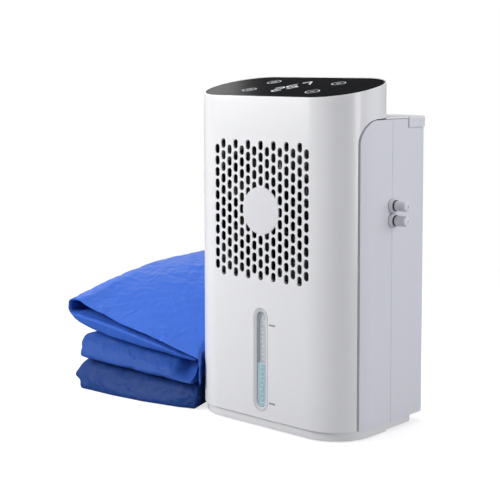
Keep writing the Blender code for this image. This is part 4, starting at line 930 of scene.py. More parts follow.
class COOLINGPAD_OT_deck_and_lid(bpy.types.Operator):
    """Build the deck plate behind the tower and the filler lid with its skirts"""

    bl_idname = "coolingpad.deck_and_lid"
    bl_label = "Deck and lid"

    def execute(self, context):
        sizes = context.scene.unit_sizes
        deck = block("deck", tuple(deck_low), tuple(deck_high))
        around = tower_block("around", sizes, -fit_gap, deck_low.z - overrun, shell_high.z + overrun)
        cut(deck, around)
        add_piece(deck, "white_gloss", nodes=["deck_plate"], edge=0.0003)
        self.lid(sizes)
        return {"FINISHED"}

    def lid(self, sizes):
        """Flap with three skirts, a barrel and notches for the knuckles."""
        top = lid_high.z
        corner = sizes.cover_radius + lid_proud
        lid = plan_block("lid_flap", -lid_proud, lid_front, lid_high.y, lid_low.z, top, 0, corner, 10)
        near = 0.00001
        with mesh_edit(lid) as work:
            rim = [
                e for e in work.edges
                if min(v.co.z for v in e.verts) > top - near
                and not all(abs(v.co.y - lid_front) < near for v in e.verts)
                and len(e.link_faces) == 2
                and abs(e.link_faces[0].normal.z - e.link_faces[1].normal.z) > 0.5
            ]
            round_off(work, rim, 0.0014, 6)
        inset = lid_wall - lid_proud
        inside = plan_block(
            "inside", inset, lid_front - overrun, rear_y - inset, lid_low.z - overrun,
            top - lid_plate, 0, sizes.cover_radius - inset, 10,
        )
        inner_x = half_width + lid_proud - lid_wall
        edge = block(
            "edge", (-inner_x, lid_front - overrun, lid_low.z - overrun),
            (inner_x, hinge_y - hinge_radius / 2, top + overrun),
        )
        corners = block(
            "corners", (-half_width - overrun, lid_front - overrun, hinge_z - hinge_radius / 2),
            (half_width + overrun, hinge_y - hinge_radius / 2, top + overrun),
        )
        cut(lid, inside, edge, corners)
        half = half_width + lid_proud - fit_gap
        barrel = turned(
            "barrel", [(0, 0), (hinge_radius, 0), (hinge_radius, 2 * half), (0, 2 * half)],
            (-half, hinge_y, hinge_z), "X", 32,
        )
        join(lid, barrel)
        for side in (-1, 1):
            reach = hinge_knuckle_width / 2 + fit_gap
            x = side * hinge_knuckle_x
            notch = block(
                "notch", (x - reach, lid_front - overrun, hinge_z - 2 * hinge_radius),
                (x + reach, hinge_y + hinge_radius + lid_play, top + overrun),
            )
            cut(lid, notch)
        add_piece(lid, "white_satin", body="lid", nodes=["tank_lid"], edge=0.0003)


class COOLINGPAD_OT_control_panel(bpy.types.Operator):
    """Build the sloping black panel with its touch rings, signs and lit digits"""

    bl_idname = "coolingpad.control_panel"
    bl_label = "Control panel"

    def execute(self, context):
        sizes = context.scene.unit_sizes
        front_height = shell_high.z - sizes.top_slope * tower_depth
        high = front_height - 0.0002
        panel = slope_top(
            tower_block("panel_glass", sizes, sizes.panel_rim + fit_gap, high - 0.002, high),
            body_bottom, sizes,
        )
        add_piece(panel, "black_glass", nodes=["control_panel"], edge=0.00025)
        self.signs(sizes, high)
        self.digits(sizes, high)
        return {"FINISHED"}

    def lay(self, name, work, sizes, high):
        """Give flat print its hair of thickness and lay it on the sloping panel."""
        bmesh.ops.remove_doubles(work, verts=work.verts, dist=0.000001)
        bmesh.ops.recalc_face_normals(work, faces=work.faces)
        bmesh.ops.translate(work, vec=(0, front_y, high + 0.00001), verts=work.verts)
        obj = new_object(name, work)
        solid = obj.modifiers.new("ink", "SOLIDIFY")
        solid.thickness = 0.00005
        solid.offset = 1.0
        apply_modifiers(obj)
        slope_top(obj, body_bottom, sizes)
        add_piece(obj, "print_white")

    def ring(self, work, centre, radius, line, segments=56):
        """Thin ring of print."""
        made = bmesh.ops.create_circle(
            work, cap_ends=True, segments=segments, radius=radius,
            matrix=Matrix.Translation((*centre, 0)),
        )
        face = made["verts"][0].link_faces[0]
        bmesh.ops.inset_region(
            work, faces=[face], thickness=line, depth=0, use_boundary=True, use_even_offset=True
        )
        bmesh.ops.delete(work, geom=[face], context="FACES_ONLY")

    def bar(self, work, centre, run, width, angle=0.0, point=0.0):
        """Bar of print, with pointed ends for a segment of a digit."""
        made = bmesh.ops.create_grid(work, x_segments=2, y_segments=2, size=0.5)["verts"]
        for vertex in made:
            middle_row = abs(vertex.co.y) < 0.1
            x = vertex.co.x * run
            if point and not middle_row and abs(vertex.co.x) > 0.4:
                x -= math.copysign(point, x)
            vertex.co = (x, vertex.co.y * width, 0)
        turn = Matrix.Translation((*centre, 0)) @ Matrix.Rotation(math.radians(angle), 4, "Z")
        bmesh.ops.transform(work, matrix=turn, verts=made)

    def signs(self, sizes, high):
        """Four touch rings with a simple sign in each: switch, timer, less and more."""
        work = bmesh.new()
        places = [(-0.0381, 0.0270), (-0.0383, 0.0611), (0.0383, 0.0247), (0.0397, 0.0593)]
        ring_radius, line, inner_line, sign = 0.0067, 0.0008, 0.0007, 0.0052
        for centre in places:
            self.ring(work, centre, ring_radius, line)
        x, y = places[0]
        self.ring(work, (x, y), 0.0027, inner_line, 32)
        self.bar(work, (x, y + 0.0022), 0.0028, 0.0006, 90)
        x, y = places[1]
        self.ring(work, (x, y), 0.0029, inner_line, 32)
        self.bar(work, (x, y + 0.0008), 0.0018, 0.0005, 90)
        self.bar(work, (x + 0.0008, y), 0.0016, 0.0005)
        x, y = places[2]
        self.bar(work, (x, y), sign, line)
        x, y = places[3]
        self.bar(work, (x, y), sign, line)
        self.bar(work, (x, y), sign, line, 90)
        self.lay("touch_signs", work, sizes, high)

    def digits(self, sizes, high):
        """Three leaning seven-segment digits of a temperature, turned towards the unit's right."""
        segments = {
            "a": (0, 1, 0), "b": (0.5, 0.5, 1), "c": (0.5, -0.5, 1), "d": (0, -1, 0),
            "e": (-0.5, -0.5, 1), "f": (-0.5, 0.5, 1), "g": (0, 0, 0),
        }
        shapes = ("abged", "afgcd", "abc")
        turn = math.radians(62)
        lean = math.radians(30)
        step = Vector((math.cos(turn), math.sin(turn)))
        rise = Vector((-math.sin(turn - lean), math.cos(turn - lean)))
        middle = Vector((-0.0008, 0.0428))
        work = bmesh.new()
        digit_width = 0.0098
        half_height = 0.0078
        pitch = 0.0132
        stroke = 0.0021
        stroke_gap = 0.0008
        stroke_point = 0.0009
        for index, shape in enumerate(shapes):
            for key in shape:
                across, up, upright = segments[key]
                centre = middle + step * ((index - 1) * pitch + across * digit_width)
                centre += rise * (up * half_height)
                run = half_height if upright else digit_width
                angle = turn + (math.radians(90) - lean if upright else 0)
                self.bar(work, centre, run - stroke_gap, stroke, math.degrees(angle), stroke_point)
        point = middle + step * (pitch / 2) - rise * half_height
        self.bar(work, point, 0.0020, 0.0020, math.degrees(turn))
        self.lay("display_digits", work, sizes, high)


class COOLINGPAD_OT_water_window(bpy.types.Operator):
    """Build the window's bezel, lens, water column and scale"""

    bl_idname = "coolingpad.water_window"
    bl_label = "Water window"

    def execute(self, context):
        window = context.scene.window_sizes
        wall = context.scene.unit_sizes.shell_wall
        centre = (0, window_middle)
        frame_rear = front_y + window.depth
        bezel = slot_block("bezel", centre, window.width, window.height, front_y, frame_rear, round_steps)
        flange = slot_block(
            "flange", centre, window.width + 2 * window.flange, window.height + 2 * window.flange,
            front_y + wall + fit_gap, frame_rear, round_steps,
        )
        work = bmesh.new()
        rim = 0.0003
        mouth = slot_face(
            work, centre, window.width - 2 * rim, window.height - 2 * rim, front_y - overrun, round_steps
        )
        cap = pull_face(work, mouth, front_y)
        if cap.normal.y < 0:
            bmesh.ops.reverse_faces(work, faces=[cap])
        bmesh.ops.inset_region(
            work, faces=[cap], thickness=window.chamfer_width - rim,
            depth=window.chamfer_depth, use_even_offset=True,
        )
        pull_face(work, cap, frame_rear + overrun)
        bmesh.ops.recalc_face_normals(work, faces=work.faces)
        cut(join(bezel, flange), new_object("bezel_bore", work))
        add_piece(bezel, "grey_satin", nodes=["window_bezel"], edge=0.0002)
        self.lens(window, centre)
        self.scale(window)
        return {"FINISHED"}

    def lens(self, window, centre):
        """Lens in its seat, with the level gauge before it: pane, lining with painted shade, water and dry
        wall.
        """
        width = lens_high.x - lens_low.x
        height = lens_high.z - lens_low.z
        lens = slot_block("lens", centre, width, height, lens_low.y, lens_high.y, round_steps)
        add_piece(lens, "clear_lens", nodes=["window_lens"], edge=0.0002)
        bore_width = window.width - 2 * window.chamfer_width
        bore_height = window.height - 2 * window.chamfer_width
        pane_y = front_y + window.chamfer_depth + 0.0001
        water_y = pane_y + 0.0005
        gauge_rear = lens_low.y - 0.0002

        def filling(name, inset, front, rear):
            """Slot shape that fills the bezel's bore, less an inset."""
            return slot_block(
                name, centre, bore_width - inset, bore_height - inset, front, rear, round_steps
            )

        add_piece(filling("sight_pane", 0.0001, pane_y, pane_y + 0.0004), "clear_lens")
        # The grey lining is painted shade: it darkens the gauge's wall above the water, where shadow falls
        shade_liner = filling("gauge_shade_liner", 0.0001, water_y, gauge_rear)
        cut(shade_liner, filling("liner_bore", 0.0006, front_y, lens_high.y))
        add_piece(shade_liner, "gauge_painted_shade")
        back = filling("level_wall", 0.0009, pane_y + 0.0034, gauge_rear)
        water = filling("level_water", 0.0007, water_y, gauge_rear)
        for part, way in ((water, 1), (back, -1)):
            with mesh_edit(part) as work:
                bmesh.ops.bisect_plane(
                    work, geom=work.verts[:] + work.edges[:] + work.faces[:],
                    plane_co=(0, 0, window.water_level - 0.00005 * way), plane_no=(0, 0, way),
                    clear_outer=True,
                )
                bmesh.ops.holes_fill(work, edges=[e for e in work.edges if e.is_boundary])
        add_piece(back, "dry_tank")
        add_piece(water, "water")

    def scale(self, window):
        """White line with ticks on the sight pane and short grey marks beside the window."""
        y = front_y + window.chamfer_depth + 0.00004
        work = bmesh.new()
        low = 0.0232
        high = 0.0944
        line_x = -0.0003
        line_width = 0.0004
        self.mark(work, (line_x, y, (low + high) / 2), line_width, high - low)
        count = 19
        end_run, tick_run, level_run, tick_height = 0.0050, 0.0028, 0.0022, 0.0006
        for index in range(count):
            z = low + (high - low) * index / (count - 1)
            run = end_run if index in (0, count - 1) else tick_run
            self.mark(work, (line_x + run / 2, y, z), run, tick_height)
        level = window.water_level - 0.0004
        self.mark(work, (line_x + 0.0042, y, level), level_run, tick_height)
        add_piece(new_object("window_scale", work), "print_white")
        work = bmesh.new()
        dash_width, dash_height = 0.0017, 0.0016
        for z in (high, low + 0.0012):
            for x in (0.0112, 0.0136, 0.0160):
                self.mark(work, (x, front_y - 0.00004, z), dash_width, dash_height)
        add_piece(new_object("level_marks", work), "print_grey")

    def mark(self, work, middle, width, height):
        """Thin raised mark of print."""
        made = bmesh.ops.create_cube(work, size=1.0)["verts"]
        bmesh.ops.scale(work, vec=(width, 0.00008, height), verts=made)
        bmesh.ops.translate(work, vec=middle, verts=made)


class COOLINGPAD_OT_base(bpy.types.Operator):
    """Build the inset base plate with its step"""

    bl_idname = "coolingpad.base"
    bl_label = "Base plate"

    def execute(self, context):
        sizes = context.scene.unit_sizes
        inset = half_width - base_high.x
        top = body_bottom - fit_gap
        base = plan_block(
            "plinth", inset, front_y + inset, base_high.y, base_low.z, top,
            sizes.front_radius - inset, 0.008,
        )
        step_front = front_y + 0.0645
        step_height = 0.0023
        step = block(
            "step", (-half_width, step_front, 0), (half_width, base_high.y + overrun, step_height)
        )
        cut(base, step)
        for node in ("foot_front_left", "foot_front_right", "foot_rear_left", "foot_rear_right"):
            low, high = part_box(node)
            centre = ((low.x + high.x) / 2, (low.y + high.y) / 2, -overrun)
            radius = (high.x - low.x) / 2 + fit_gap
            depth = high.z + fit_gap + overrun
            pocket = turned("pocket", [(0, 0), (radius, 0), (radius, depth), (0, depth)], centre, "Z")
            cut(base, pocket)
        add_piece(base, "white_gloss", nodes=["base_plate"], edge=0.0005)
        return {"FINISHED"}


class COOLINGPAD_OT_connectors(bpy.types.Operator):
    """Build the two hose connectors with their sealing rings"""

    bl_idname = "coolingpad.connectors"
    bl_label = "Hose connectors"

    def execute(self, context):
        for word, y, z in connector_places():
            place = (half_width, y, z)
            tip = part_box("hose_connector_" + word)[1].x - half_width
            profile = [
                (0, tip - 0.0008), (0.0012, tip - 0.0008), (0.0014, tip), (0.0030, tip),
                (0.0041, tip - 0.0005), (0.00465, tip - 0.0016), (0.00465, tip - 0.0034),
                (0.0044, tip - 0.0037), (0.0044, tip - 0.0045), (0.00465, tip - 0.0048),
                (0.00465, 0.0062), (0.0043, 0.0059), (0.0043, 0.0036),
                (0.0052, 0.0033), (0.0060, 0.0033), (0.0063, 0.0030), (0.0063, 0.0006),
                (0.0061, 0.0003), (0.0044, 0.0003), (0.0044, -0.0027), (0.0053, -0.0027),
                (0.0053, -0.0057), (0.0030, -0.0057), (0.0030, -0.0157), (0.0019, -0.0157),
                (0.0019, -0.0027), (0, -0.0027),
            ]
            body = turned("hose_spigot_" + word, profile, place, "X", 64)
            add_piece(body, "white_satin", nodes=["hose_connector_" + word], angle=28)
            seal = [
                (0.0043, 0.0038), (0.00475, 0.0040), (0.0049, 0.0045), (0.00475, 0.0050),
                (0.0043, 0.0052),
            ]
            ring = turned("sealing_ring_" + word, seal + [seal[0]], place, "X", 64)
            add_piece(ring, "grey_rubber")
        return {"FINISHED"}


class COOLINGPAD_OT_inner_parts(bpy.types.Operator):
    """Give the inner parts and small fittings their finishes"""

    bl_idname = "coolingpad.inner_parts"
    bl_label = "Inner parts"

    def execute(self, context):
        for subpart in frame["record"]["subparts"]:
            node = frame["nodes"][subpart["node"]]
            material = materials[subpart["material_slot"]]
            if not node.material_slots:
                node.data.materials.append(material)
            for place in node.material_slots:
                place.material = material
        return {"FINISHED"}


pad_corner_x = -0.0835
pad_length = 0.138
pad_turn = math.radians(6)

# The pad's outlines, in millimetres of its own frame: across, deep and up, or shares of a run
pad_rear = 241.5
pad_front = -1.5
pad_left = -12
pad_left_reach = -8
pad_right = 138
pad_reach = 146
lip_rise = 12
lower_lip_rise = 4
inner_front = 24
inner_rear = 239
hang_radius = 5
crease_line = (
    (-32, 93.5), (-24, 91), (-16, 88), (-8, 84.4), (4, 80.2), (24, 75), (43, 69.6), (70, 63.8), (94, 58.8),
    (112, 54.6), (128, 50.8), (138, 48.4), (146, 45.0),
)
first_lip_line = (
    (-32, 73), (-14, 64.5), (-8, 62.5), (8, 58.8), (33, 54.6), (70, 51.0), (85, 49.8), (105, 48.4),
    (120, 46.6), (138, 45.2), (146, 43),
)
second_lip_line = ((-30, 32), (-2, 31.2), (46, 28.6), (98, 26.4), (125, 25.4), (138, 25.0))
rise_line = ((0, 0), (25, 0.17), (50, 0.41), (86, 0.70), (125, 0.92), (160, 1.02), (245, 1.03))
band_line = ((-14, 9), (10, 12), (35, 12.5), (84, 8.0), (121, 3.2), (138, 2.6))
floor_line = ((-10, -4.5), (37, -7), (79, -6), (120, -1), (140, 4))
lowest_front = ((0, -1.5), (0.10, -2.4), (0.4, 0), (0.7, 4), (0.9, 9), (1, 15))
lowest_left = (
    (0, -4.4), (0.25, -7.5), (0.30, -11), (0.36, -15), (0.42, -15.2), (0.7, -11), (0.93, -5), (1, 2),
)
middle_front = ((0, 1), (0.05, -4.2), (0.2, -4), (0.45, 0), (0.7, 6), (0.9, 13), (1, 19))
middle_left = ((0, -2), (0.08, -6), (0.35, -6.6), (0.55, -9.6), (0.7, -9), (0.9, 6), (1, 14))
tip_line = (
    (0, 0, 0), (0.2, -0.45, 0.07), (0.38, -0.88, 0.28), (0.5, -1, 0.48), (0.78, -1, 0.82), (0.9, -0.8, 0.97),
    (1, 0, 1),
)


def along(line, place, column=1):
    """Value of a line of points at a place."""
    if place <= line[0][0]:
        return line[0][column]
    for start, end in zip(line, line[1:]):
        if place <= end[0]:
            share = (place - start[0]) / (end[0] - start[0])
            return start[column] + (end[column] - start[column]) * share
    return line[-1][column]


def round_edge(distance, radius):
    """Height share of a round edge at a distance from it."""
    share = max(0.0, min(1.0, distance / radius))
    return math.sqrt(1 - (1 - share) ** 2)


def bell(place, middle, width):
    """Smooth hump that is 1 at its middle."""
    return math.exp(-(((place - middle) / width) ** 2))


def pad_point(across, deep, up):
    """World place of a point of the pad's own frame, given in millimetres."""
    corner = Vector((pad_corner_x, front_y + 0.001, 0))
    along_front = Vector((math.cos(pad_turn), math.sin(pad_turn), 0))
    to_rear = Vector((-math.sin(pad_turn), math.cos(pad_turn), 0))
    run = across / 1000 - pad_length
    return corner + along_front * run + to_rear * (deep / 1000) + Vector((0, 0, up / 1000))


def right_edge(deep):
    """Where the pad's right side lies, drawn in beside the unit."""
    return pad_right - 19 * math.sin(math.pi * max(0.0, min(1.0, deep / 245)))


def crumple(across, deep, seed, spread):
    """Soft ridges like those of crumpled cloth, from -1 to 1, longer along the pad's front."""
    place = Vector((across / spread[0], deep / spread[1], seed))
    bend = noise.noise(place * 0.6 + Vector((7.1, 3.3, seed)))
    place += Vector((bend, bend * 1.6, 0))
    value = noise.noise(place)
    ridge = 1 - abs(noise.noise(place * 1.7 + Vector((1.3, 9.2, seed)))) * 2.2
    return 0.5 * value + 0.5 * max(-0.6, ridge) ** 3


def soft_form(name, steps, place):
    """Closed soft form: a block's grid, each point placed from its shares of width, depth and height."""
    work = bmesh.new()
    bmesh.ops.create_cube(work, size=1.0, matrix=Matrix.Translation((0.5, 0.5, 0.5)))
    for axis, count in enumerate(steps):
        if count > 1:
            bmesh.ops.subdivide_edges(
                work, edges=edges_along(work, axis), cuts=count - 1, use_grid_fill=True
            )
    for vertex in work.verts:
        vertex.co = pad_point(*place(*vertex.co))
    bmesh.ops.remove_doubles(work, verts=work.verts, dist=0.00002)
    bmesh.ops.recalc_face_normals(work, faces=work.faces)
    return new_object(name, work)


def settle_cloth(obj, cap, pressure, surplus):
    """Let the cloth pucker under a little pressure, held loosely, no point moving past the cap."""
    scene = bpy.context.scene
    start = [vertex.co.copy() for vertex in obj.data.vertices]
    hold = obj.vertex_groups.new(name="hold")
    hold.add(range(len(start)), 0.14, "REPLACE")
    hold.add([index for index, place in enumerate(start) if place.z < 0.0012], 1.0, "REPLACE")
    cloth = obj.modifiers.new("settle", "CLOTH")
    settings = cloth.settings
    settings.quality = 4
    settings.mass = 0.12
    settings.tension_stiffness = 12
    settings.compression_stiffness = 12
    settings.shear_stiffness = 4
    settings.bending_stiffness = 0.08
    settings.use_pressure = True
    settings.uniform_pressure_force = pressure
    settings.shrink_min = -surplus
    settings.vertex_group_mass = hold.name
    settings.pin_stiffness = 0.4
    settings.effector_weights.gravity = 0
    cloth.point_cache.frame_start = 1
    last_frame = 15
    cloth.point_cache.frame_end = last_frame
    for moment in range(1, last_frame + 1):
        scene.frame_set(moment)
    apply_modifiers(obj)
    scene.frame_set(1)
    obj.vertex_groups.clear()
    for vertex, before in zip(obj.data.vertices, start):
        move = vertex.co - before
        if move.length > cap:
            vertex.co = before + move * (cap / move.length)
        vertex.co.z = max(vertex.co.z, min(before.z, 0.0002))


class COOLINGPAD_OT_mattress_pad(bpy.types.Operator):
    """Build the folded pad: two bundles, the inner layers and the wrap over them"""

    bl_idname = "coolingpad.mattress_pad"
    bl_label = "Folded pad"

    def execute(self, context):
        bundle = (84, 70, 14)
        pieces = (
            # The two lower bundles take darker copies of the fabric: painted shade for the shadow under the
            # bundles above them
            ("pad_lowest_bundle", bundle, self.lowest_place, "fabric_lowest", 11.0, True),
            ("pad_middle_bundle", bundle, self.middle_place, "fabric_middle", 23.0, True),
            ("pad_inner_layers", (60, 80, 1), self.inner_place, "blue_fabric", 37.0, False),
            ("pad_wrap", (160, 84, 1), self.wrap_place, "blue_fabric", 53.0, True),
        )
        made = [self.soft_piece(*piece) for piece in pieces]
        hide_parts("mattress_pad")
        return {"FINISHED"}

    def soft_piece(self, name, steps, place, finish, seed, seen):
        """Crumpled form of cloth: shaped, creased along its normals and settled."""
        obj = soft_form(name, steps, place)
        with mesh_edit(obj) as work:
            work.normal_update()
            shifts = []
            for vertex in work.verts:
                across = vertex.co.x * 1000
                deep = vertex.co.y * 1000
                up = vertex.co.z * 1000
                facing = abs(vertex.normal.z)
                value = crumple(across + up * 0.4, deep + up * 2.2, seed, (42, 15))
                fine = crumple(across * 1.2 + deep * 0.5, up * 2.0 + deep, seed + 5, (16, 7))
                low = 0 if up < 1 else 1
                depth = 0.6 + 0.8 * (1 - facing)
                shifts.append((value * depth + fine * (0.25 + 0.3 * (1 - facing))) * 0.001 * low)
            for vertex, shift in zip(work.verts, shifts):
                vertex.co += vertex.normal * shift
        if seen:
            settle_cloth(obj, 0.003, 0.5, 0.018)
        add_piece(obj, finish, angle=80, slot="blue_fabric")
        smooth = obj.modifiers.new("smooth_cloth", "SUBSURF")
        smooth.levels = 1
        smooth.render_levels = 1
        return obj

    def lowest_place(self, a, b, c):
        """Lowest bundle: it draws in under the middle one and towards the floor on the right."""
        recede = along(floor_line, pad_left_reach + pad_reach * a)
        front = along(lowest_front, c) + recede * (1 - 0.75 * c)
        deep = front + (pad_rear - front - 5 * abs(2 * c - 1)) * b
        left = along(lowest_left, c) - 3 * math.sin(deep / 30)
        right = right_edge(deep) - 2 * abs(2 * c - 1)
        across = left + (right - left) * a
        top = along(second_lip_line, across) + lower_lip_rise * along(rise_line, max(0, deep)) - 0.5
        low = 0.2
        return across, deep, low + c * (top - low)

    def middle_place(self, a, b, c):
        """Middle bundle: its lip hangs over the lowest one, and its right end is crushed."""
        across = pad_left_reach + pad_reach * a
        crushed = bell(across, 127, 9) * max(0.0, min(1.0, (c - 0.1) / 0.3))
        front = along(middle_front, c) + 13 * crushed
        deep = front + (pad_rear - front - 5 * abs(2 * c - 1)) * b
        left = along(middle_left, c) * max(0.0, 1 - b * 0.4) + 2.0 * math.sin(deep / 18)
        right = right_edge(deep) - 1 - 2 * abs(2 * c - 1)
        across = left + (right - left) * a
        rise = along(rise_line, max(0, deep))
        low = along(second_lip_line, across) + lower_lip_rise * rise - 0.8
        top = along(first_lip_line, across) + lip_rise * rise - 0.6
        return across, deep, low + c * (top - low)

    def inner_place(self, a, b, c):
        """Layers inside the wrap, set back from its front."""
        deep = inner_front + (inner_rear - inner_front) * b
        left = pad_left
        right = right_edge(deep) - 5
        across = left + (right - left) * a
        rise = along(rise_line, deep)
        low = self.band_top(across, rise) - 1
        top = self.sheet_low(across, rise) + 2
        edge = (
            round_edge(deep - inner_front, 14)
            * round_edge(inner_rear - deep, 12)
            * round_edge(across - left, 12)
            * round_edge(right - across, 10)
        )
        return across, deep, low + c * (top - low) * edge

    def band_top(self, across, rise):
        """Top of the wrap's lower run."""
        return along(first_lip_line, across) + lip_rise * rise + along(band_line, across)

    def sheet_low(self, across, rise):
        """Underside of the wrap's upper run."""
        rear = 101 - 10 * max(0.0, min(1.0, (across + 30) / 168)) ** 2
        return along(crease_line, across) * (1 - rise) + rear * rise

    def wrap_centre(self, a, deep, b):
        """Middle line of the wrap: place across, height and half thickness."""
        rise = along(rise_line, max(0, deep))
        right = right_edge(deep) - 0.5
        flap = max(0.0, 6 - 0.5 * max(0, deep))
        lower_share, tip_share, upper_share = 0.38, 0.47, 0.90
        sheet_half = 1.2 + 3.6 * rise
        if a < lower_share:
            across = right + (pad_left - right) * (a / lower_share)
            half = along(band_line, across) / 2
            return across, along(first_lip_line, across) + lip_rise * rise + half, half
        if a < tip_share:
            turn = (a - lower_share) / (tip_share - lower_share)
            low = along(first_lip_line, pad_left) + lip_rise * rise + along(band_line, pad_left) / 2
            high = self.sheet_low(pad_left, rise) + sheet_half
            reach = 12.5 + 5 * max(0.0, min(1.0, deep / 20))
            band_half = along(band_line, pad_left) / 2
            half = band_half + (sheet_half - band_half) * min(1, turn / 0.4)
            across = pad_left + reach * along(tip_line, turn)
            return across, low + (high - low) * along(tip_line, turn, 2), half
        start = right + flap - hang_radius
        if a < upper_share:
            turn = (a - tip_share) / (upper_share - tip_share)
            across = pad_left + (start - pad_left) * turn
            crown = 5 * math.sin(math.pi * max(0, min(1, b))) * rise
            height = self.sheet_low(across, rise) + sheet_half + crown * math.sin(math.pi * turn)
            return across, height, sheet_half
        turn = (a - upper_share) / (1 - upper_share)
        bend = min(1.0, turn / 0.25)
        angle = math.pi / 2 * bend
        hang = max(0.0, turn - 0.25) / 0.75 * (20 + 14 * rise)
        top = self.sheet_low(start, rise) + sheet_half
        height = top - hang_radius * (1 - math.cos(angle)) - hang
        return start + hang_radius * math.sin(angle), height, sheet_half * (1 - 0.35 * bend)

    def wrap_place(self, a, b, c):
        """Wrap: in from the right below, round the left end, back on top and down at the right."""
        deep = pad_front + (pad_rear - pad_front) * b
        across, height, half = self.wrap_centre(a, deep, b)
        before = self.wrap_centre(max(0.0, a - 0.004), deep, b)
        after = self.wrap_centre(min(1.0, a + 0.004), deep, b)
        run = Vector((after[0] - before[0], after[1] - before[1])).normalized()
        edge = round_edge(deep - pad_front, 3) * round_edge(pad_rear - deep, 6)
        edge *= round_edge(min(a, 1 - a) * 400, 5)
        lower = max(0.0, min(1.0, (0.45 - a) / 0.06))
        low_share = -1 + 2 * c
        offset = half * (low_share * edge + (1 - edge) * (-1 + 2 * (1 - lower)) * -1)
        return across + run.y * offset, deep, height - run.x * offset


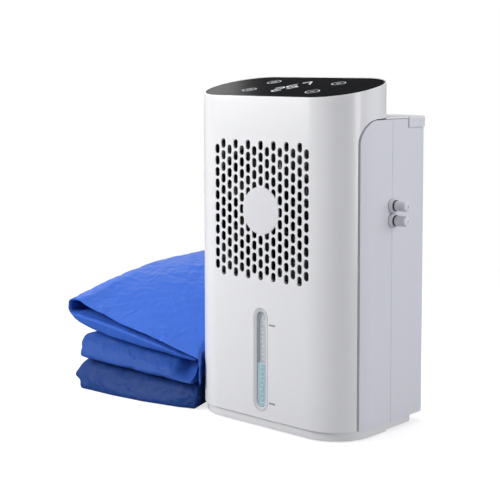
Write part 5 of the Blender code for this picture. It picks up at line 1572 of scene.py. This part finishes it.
class COOLINGPAD_OT_stage(bpy.types.Operator):
    """Set the pale floor, the soft lamps and the camera"""

    bl_idname = "coolingpad.stage"
    bl_label = "Stage"

    def execute(self, context):
        self.world(context.scene)
        self.floor()
        self.lamp("key_lamp", (-0.52, -0.66, 0.50), (-0.05, -0.05, 0.16), (0.42, 0.42), 6.2, "FFFFFF")
        self.lamp("strip_lamp", (1.5, -0.02, 0.35), (0.05, -0.02, 0.16), (0.26, 1.0), 7.4, "FFFFFF")
        self.lamp("right_lamp", (1.0, 0.85, 0.6), (0.05, 0.05, 0.16), (0.9, 0.9), 3.7, "F4F5FF")
        self.lamp("left_lamp", (-1.69, 1.10, 0.85), (-0.05, 0, 0.30), (0.7, 0.55), 4.0, "FFFFFF")
        self.lamp("top_lamp", (-0.3, 0.3, 2.2), (0, 0, 0.1), (1.8, 1.8), 25, "FFFFFF")
        self.camera(context.scene)
        context.scene.view_settings.view_transform = "Standard"
        return {"FINISHED"}

    def world(self, scene):
        """Pale light all round, and plain white where the camera and glass see it."""
        world = bpy.data.worlds.new("pale_studio")
        scene.world = world
        world.use_nodes = True
        tree = world.node_tree
        tree.nodes.clear()
        path = add_node(tree, "ShaderNodeLightPath")
        seen = add_node(
            tree,
            "ShaderNodeMath",
            {0: path.outputs["Is Camera Ray"], 1: path.outputs["Is Transmission Ray"]},
            operation="MAXIMUM",
        )
        light = add_node(
            tree, "ShaderNodeBackground", {"Color": (*linear("F9F9FC"), 1), "Strength": 0.33}
        )
        white = add_node(tree, "ShaderNodeBackground", {"Color": (1, 1, 1, 1), "Strength": 1.0})
        mix = add_node(
            tree,
            "ShaderNodeMixShader",
            {0: seen.outputs["Value"], 1: light.outputs[0], 2: white.outputs[0]},
        )
        add_node(tree, "ShaderNodeOutputWorld", {"Surface": mix.outputs[0]})

    def floor(self):
        """Large pale floor that stays white and keeps a soft shadow."""
        work = bmesh.new()
        bmesh.ops.create_grid(work, x_segments=1, y_segments=1, size=6)
        bmesh.ops.translate(work, vec=(0, 0, -0.00002), verts=work.verts)
        floor = new_object("floor", work)
        material = bpy.data.materials.new("pale_floor")
        material.use_nodes = True
        tree = material.node_tree
        tree.nodes.clear()
        path = add_node(tree, "ShaderNodeLightPath")
        place = add_node(tree, "ShaderNodeTexCoord").outputs["Object"]
        far = add_node(tree, "ShaderNodeVectorMath", {0: place}, operation="LENGTH")
        near = add_node(
            tree,
            "ShaderNodeMapRange",
            {"Value": far.outputs["Value"], "From Min": 0.35, "From Max": 0.9},
        )
        diffuse = add_node(tree, "ShaderNodeBsdfDiffuse", {"Color": (*linear("9A9BA0"), 1)})
        white = add_node(tree, "ShaderNodeEmission", {"Color": (1, 1, 1, 1), "Strength": 1.0})
        glow = add_node(tree, "ShaderNodeEmission", {"Color": (1, 1, 1, 1), "Strength": 0.70})
        dim = add_node(tree, "ShaderNodeBsdfDiffuse", {"Color": (0.42, 0.42, 0.43, 1)})
        lit = add_node(tree, "ShaderNodeAddShader", {0: glow.outputs[0], 1: dim.outputs[0]})
        seen = add_node(
            tree,
            "ShaderNodeMixShader",
            {0: near.outputs["Result"], 1: lit.outputs[0], 2: white.outputs[0]},
        )
        mix = add_node(
            tree,
            "ShaderNodeMixShader",
            {0: path.outputs["Is Camera Ray"], 1: diffuse.outputs[0], 2: seen.outputs[0]},
        )
        add_node(tree, "ShaderNodeOutputMaterial", {"Surface": mix.outputs[0]})
        floor.data.materials.append(material)

    def lamp(self, name, place, aim, size, power, tint):
        """Soft lamp of a width and height, aimed at a point."""
        data = bpy.data.lights.new(name, "AREA")
        data.shape = "RECTANGLE"
        data.size, data.size_y = size
        data.energy = power
        data.color = linear(tint)
        lamp = bpy.data.objects.new(name, data)
        bpy.context.scene.collection.objects.link(lamp)
        lamp.location = place
        lamp.rotation_euler = (Vector(aim) - Vector(place)).to_track_quat("-Z", "Y").to_euler()

    def camera(self, scene):
        """Camera at the photograph's angle, a little to the right and above."""
        data = bpy.data.cameras.new("camera")
        data.sensor_width = 36.0
        photo_width = 500
        focal_length_px = 1240.5
        data.lens = data.sensor_width * focal_length_px / photo_width
        data.shift_x = -0.0423
        data.shift_y = -0.17
        data.clip_start = 0.05
        data.clip_end = 50
        camera = bpy.data.objects.new("camera", data)
        scene.collection.objects.link(camera)
        camera.location = (0.7279, -0.8599, 0.3255)
        look_down, look_round = 4.7685, 41.775
        camera.rotation_euler = (math.radians(90 - look_down), 0, math.radians(look_round))
        scene.camera = camera


class COOLINGPAD_PT_panel(bpy.types.Panel):
    """The steps of the cooling unit and its pad"""

    bl_idname = "COOLINGPAD_PT_panel"
    bl_label = "Cooling Pad"
    bl_space_type = "VIEW_3D"
    bl_region_type = "UI"
    bl_category = "Cooling Pad"

    def draw(self, context):
        for operator in operators:
            self.layout.operator(operator.bl_idname)


property_groups = (CoolingUnitSizes, GrilleSizes, WindowSizes, Finishes)
operators = (
    COOLINGPAD_OT_materials,
    COOLINGPAD_OT_stage,
    COOLINGPAD_OT_front_shell,
    COOLINGPAD_OT_grille_disc,
    COOLINGPAD_OT_side_panels,
    COOLINGPAD_OT_rear_cover,
    COOLINGPAD_OT_deck_and_lid,
    COOLINGPAD_OT_control_panel,
    COOLINGPAD_OT_water_window,
    COOLINGPAD_OT_base,
    COOLINGPAD_OT_connectors,
    COOLINGPAD_OT_inner_parts,
    COOLINGPAD_OT_mattress_pad,
)


def register():
    for group in (*property_groups, *operators, COOLINGPAD_PT_panel):
        bpy.utils.register_class(group)
    scene = bpy.types.Scene
    scene.unit_sizes = bpy.props.PointerProperty(type=CoolingUnitSizes)
    scene.grille_sizes = bpy.props.PointerProperty(type=GrilleSizes)
    scene.window_sizes = bpy.props.PointerProperty(type=WindowSizes)
    scene.pad_finishes = bpy.props.PointerProperty(type=Finishes)


def unregister():
    scene = bpy.types.Scene
    del scene.unit_sizes, scene.grille_sizes, scene.window_sizes, scene.pad_finishes
    for group in reversed((*property_groups, *operators, COOLINGPAD_PT_panel)):
        bpy.utils.unregister_class(group)


def main():
    """Run all steps."""
    register()
    for operator in operators:
        family, name = operator.bl_idname.split(".")
        getattr(getattr(bpy.ops, family), name)()


if __name__ == "__main__":
    main()
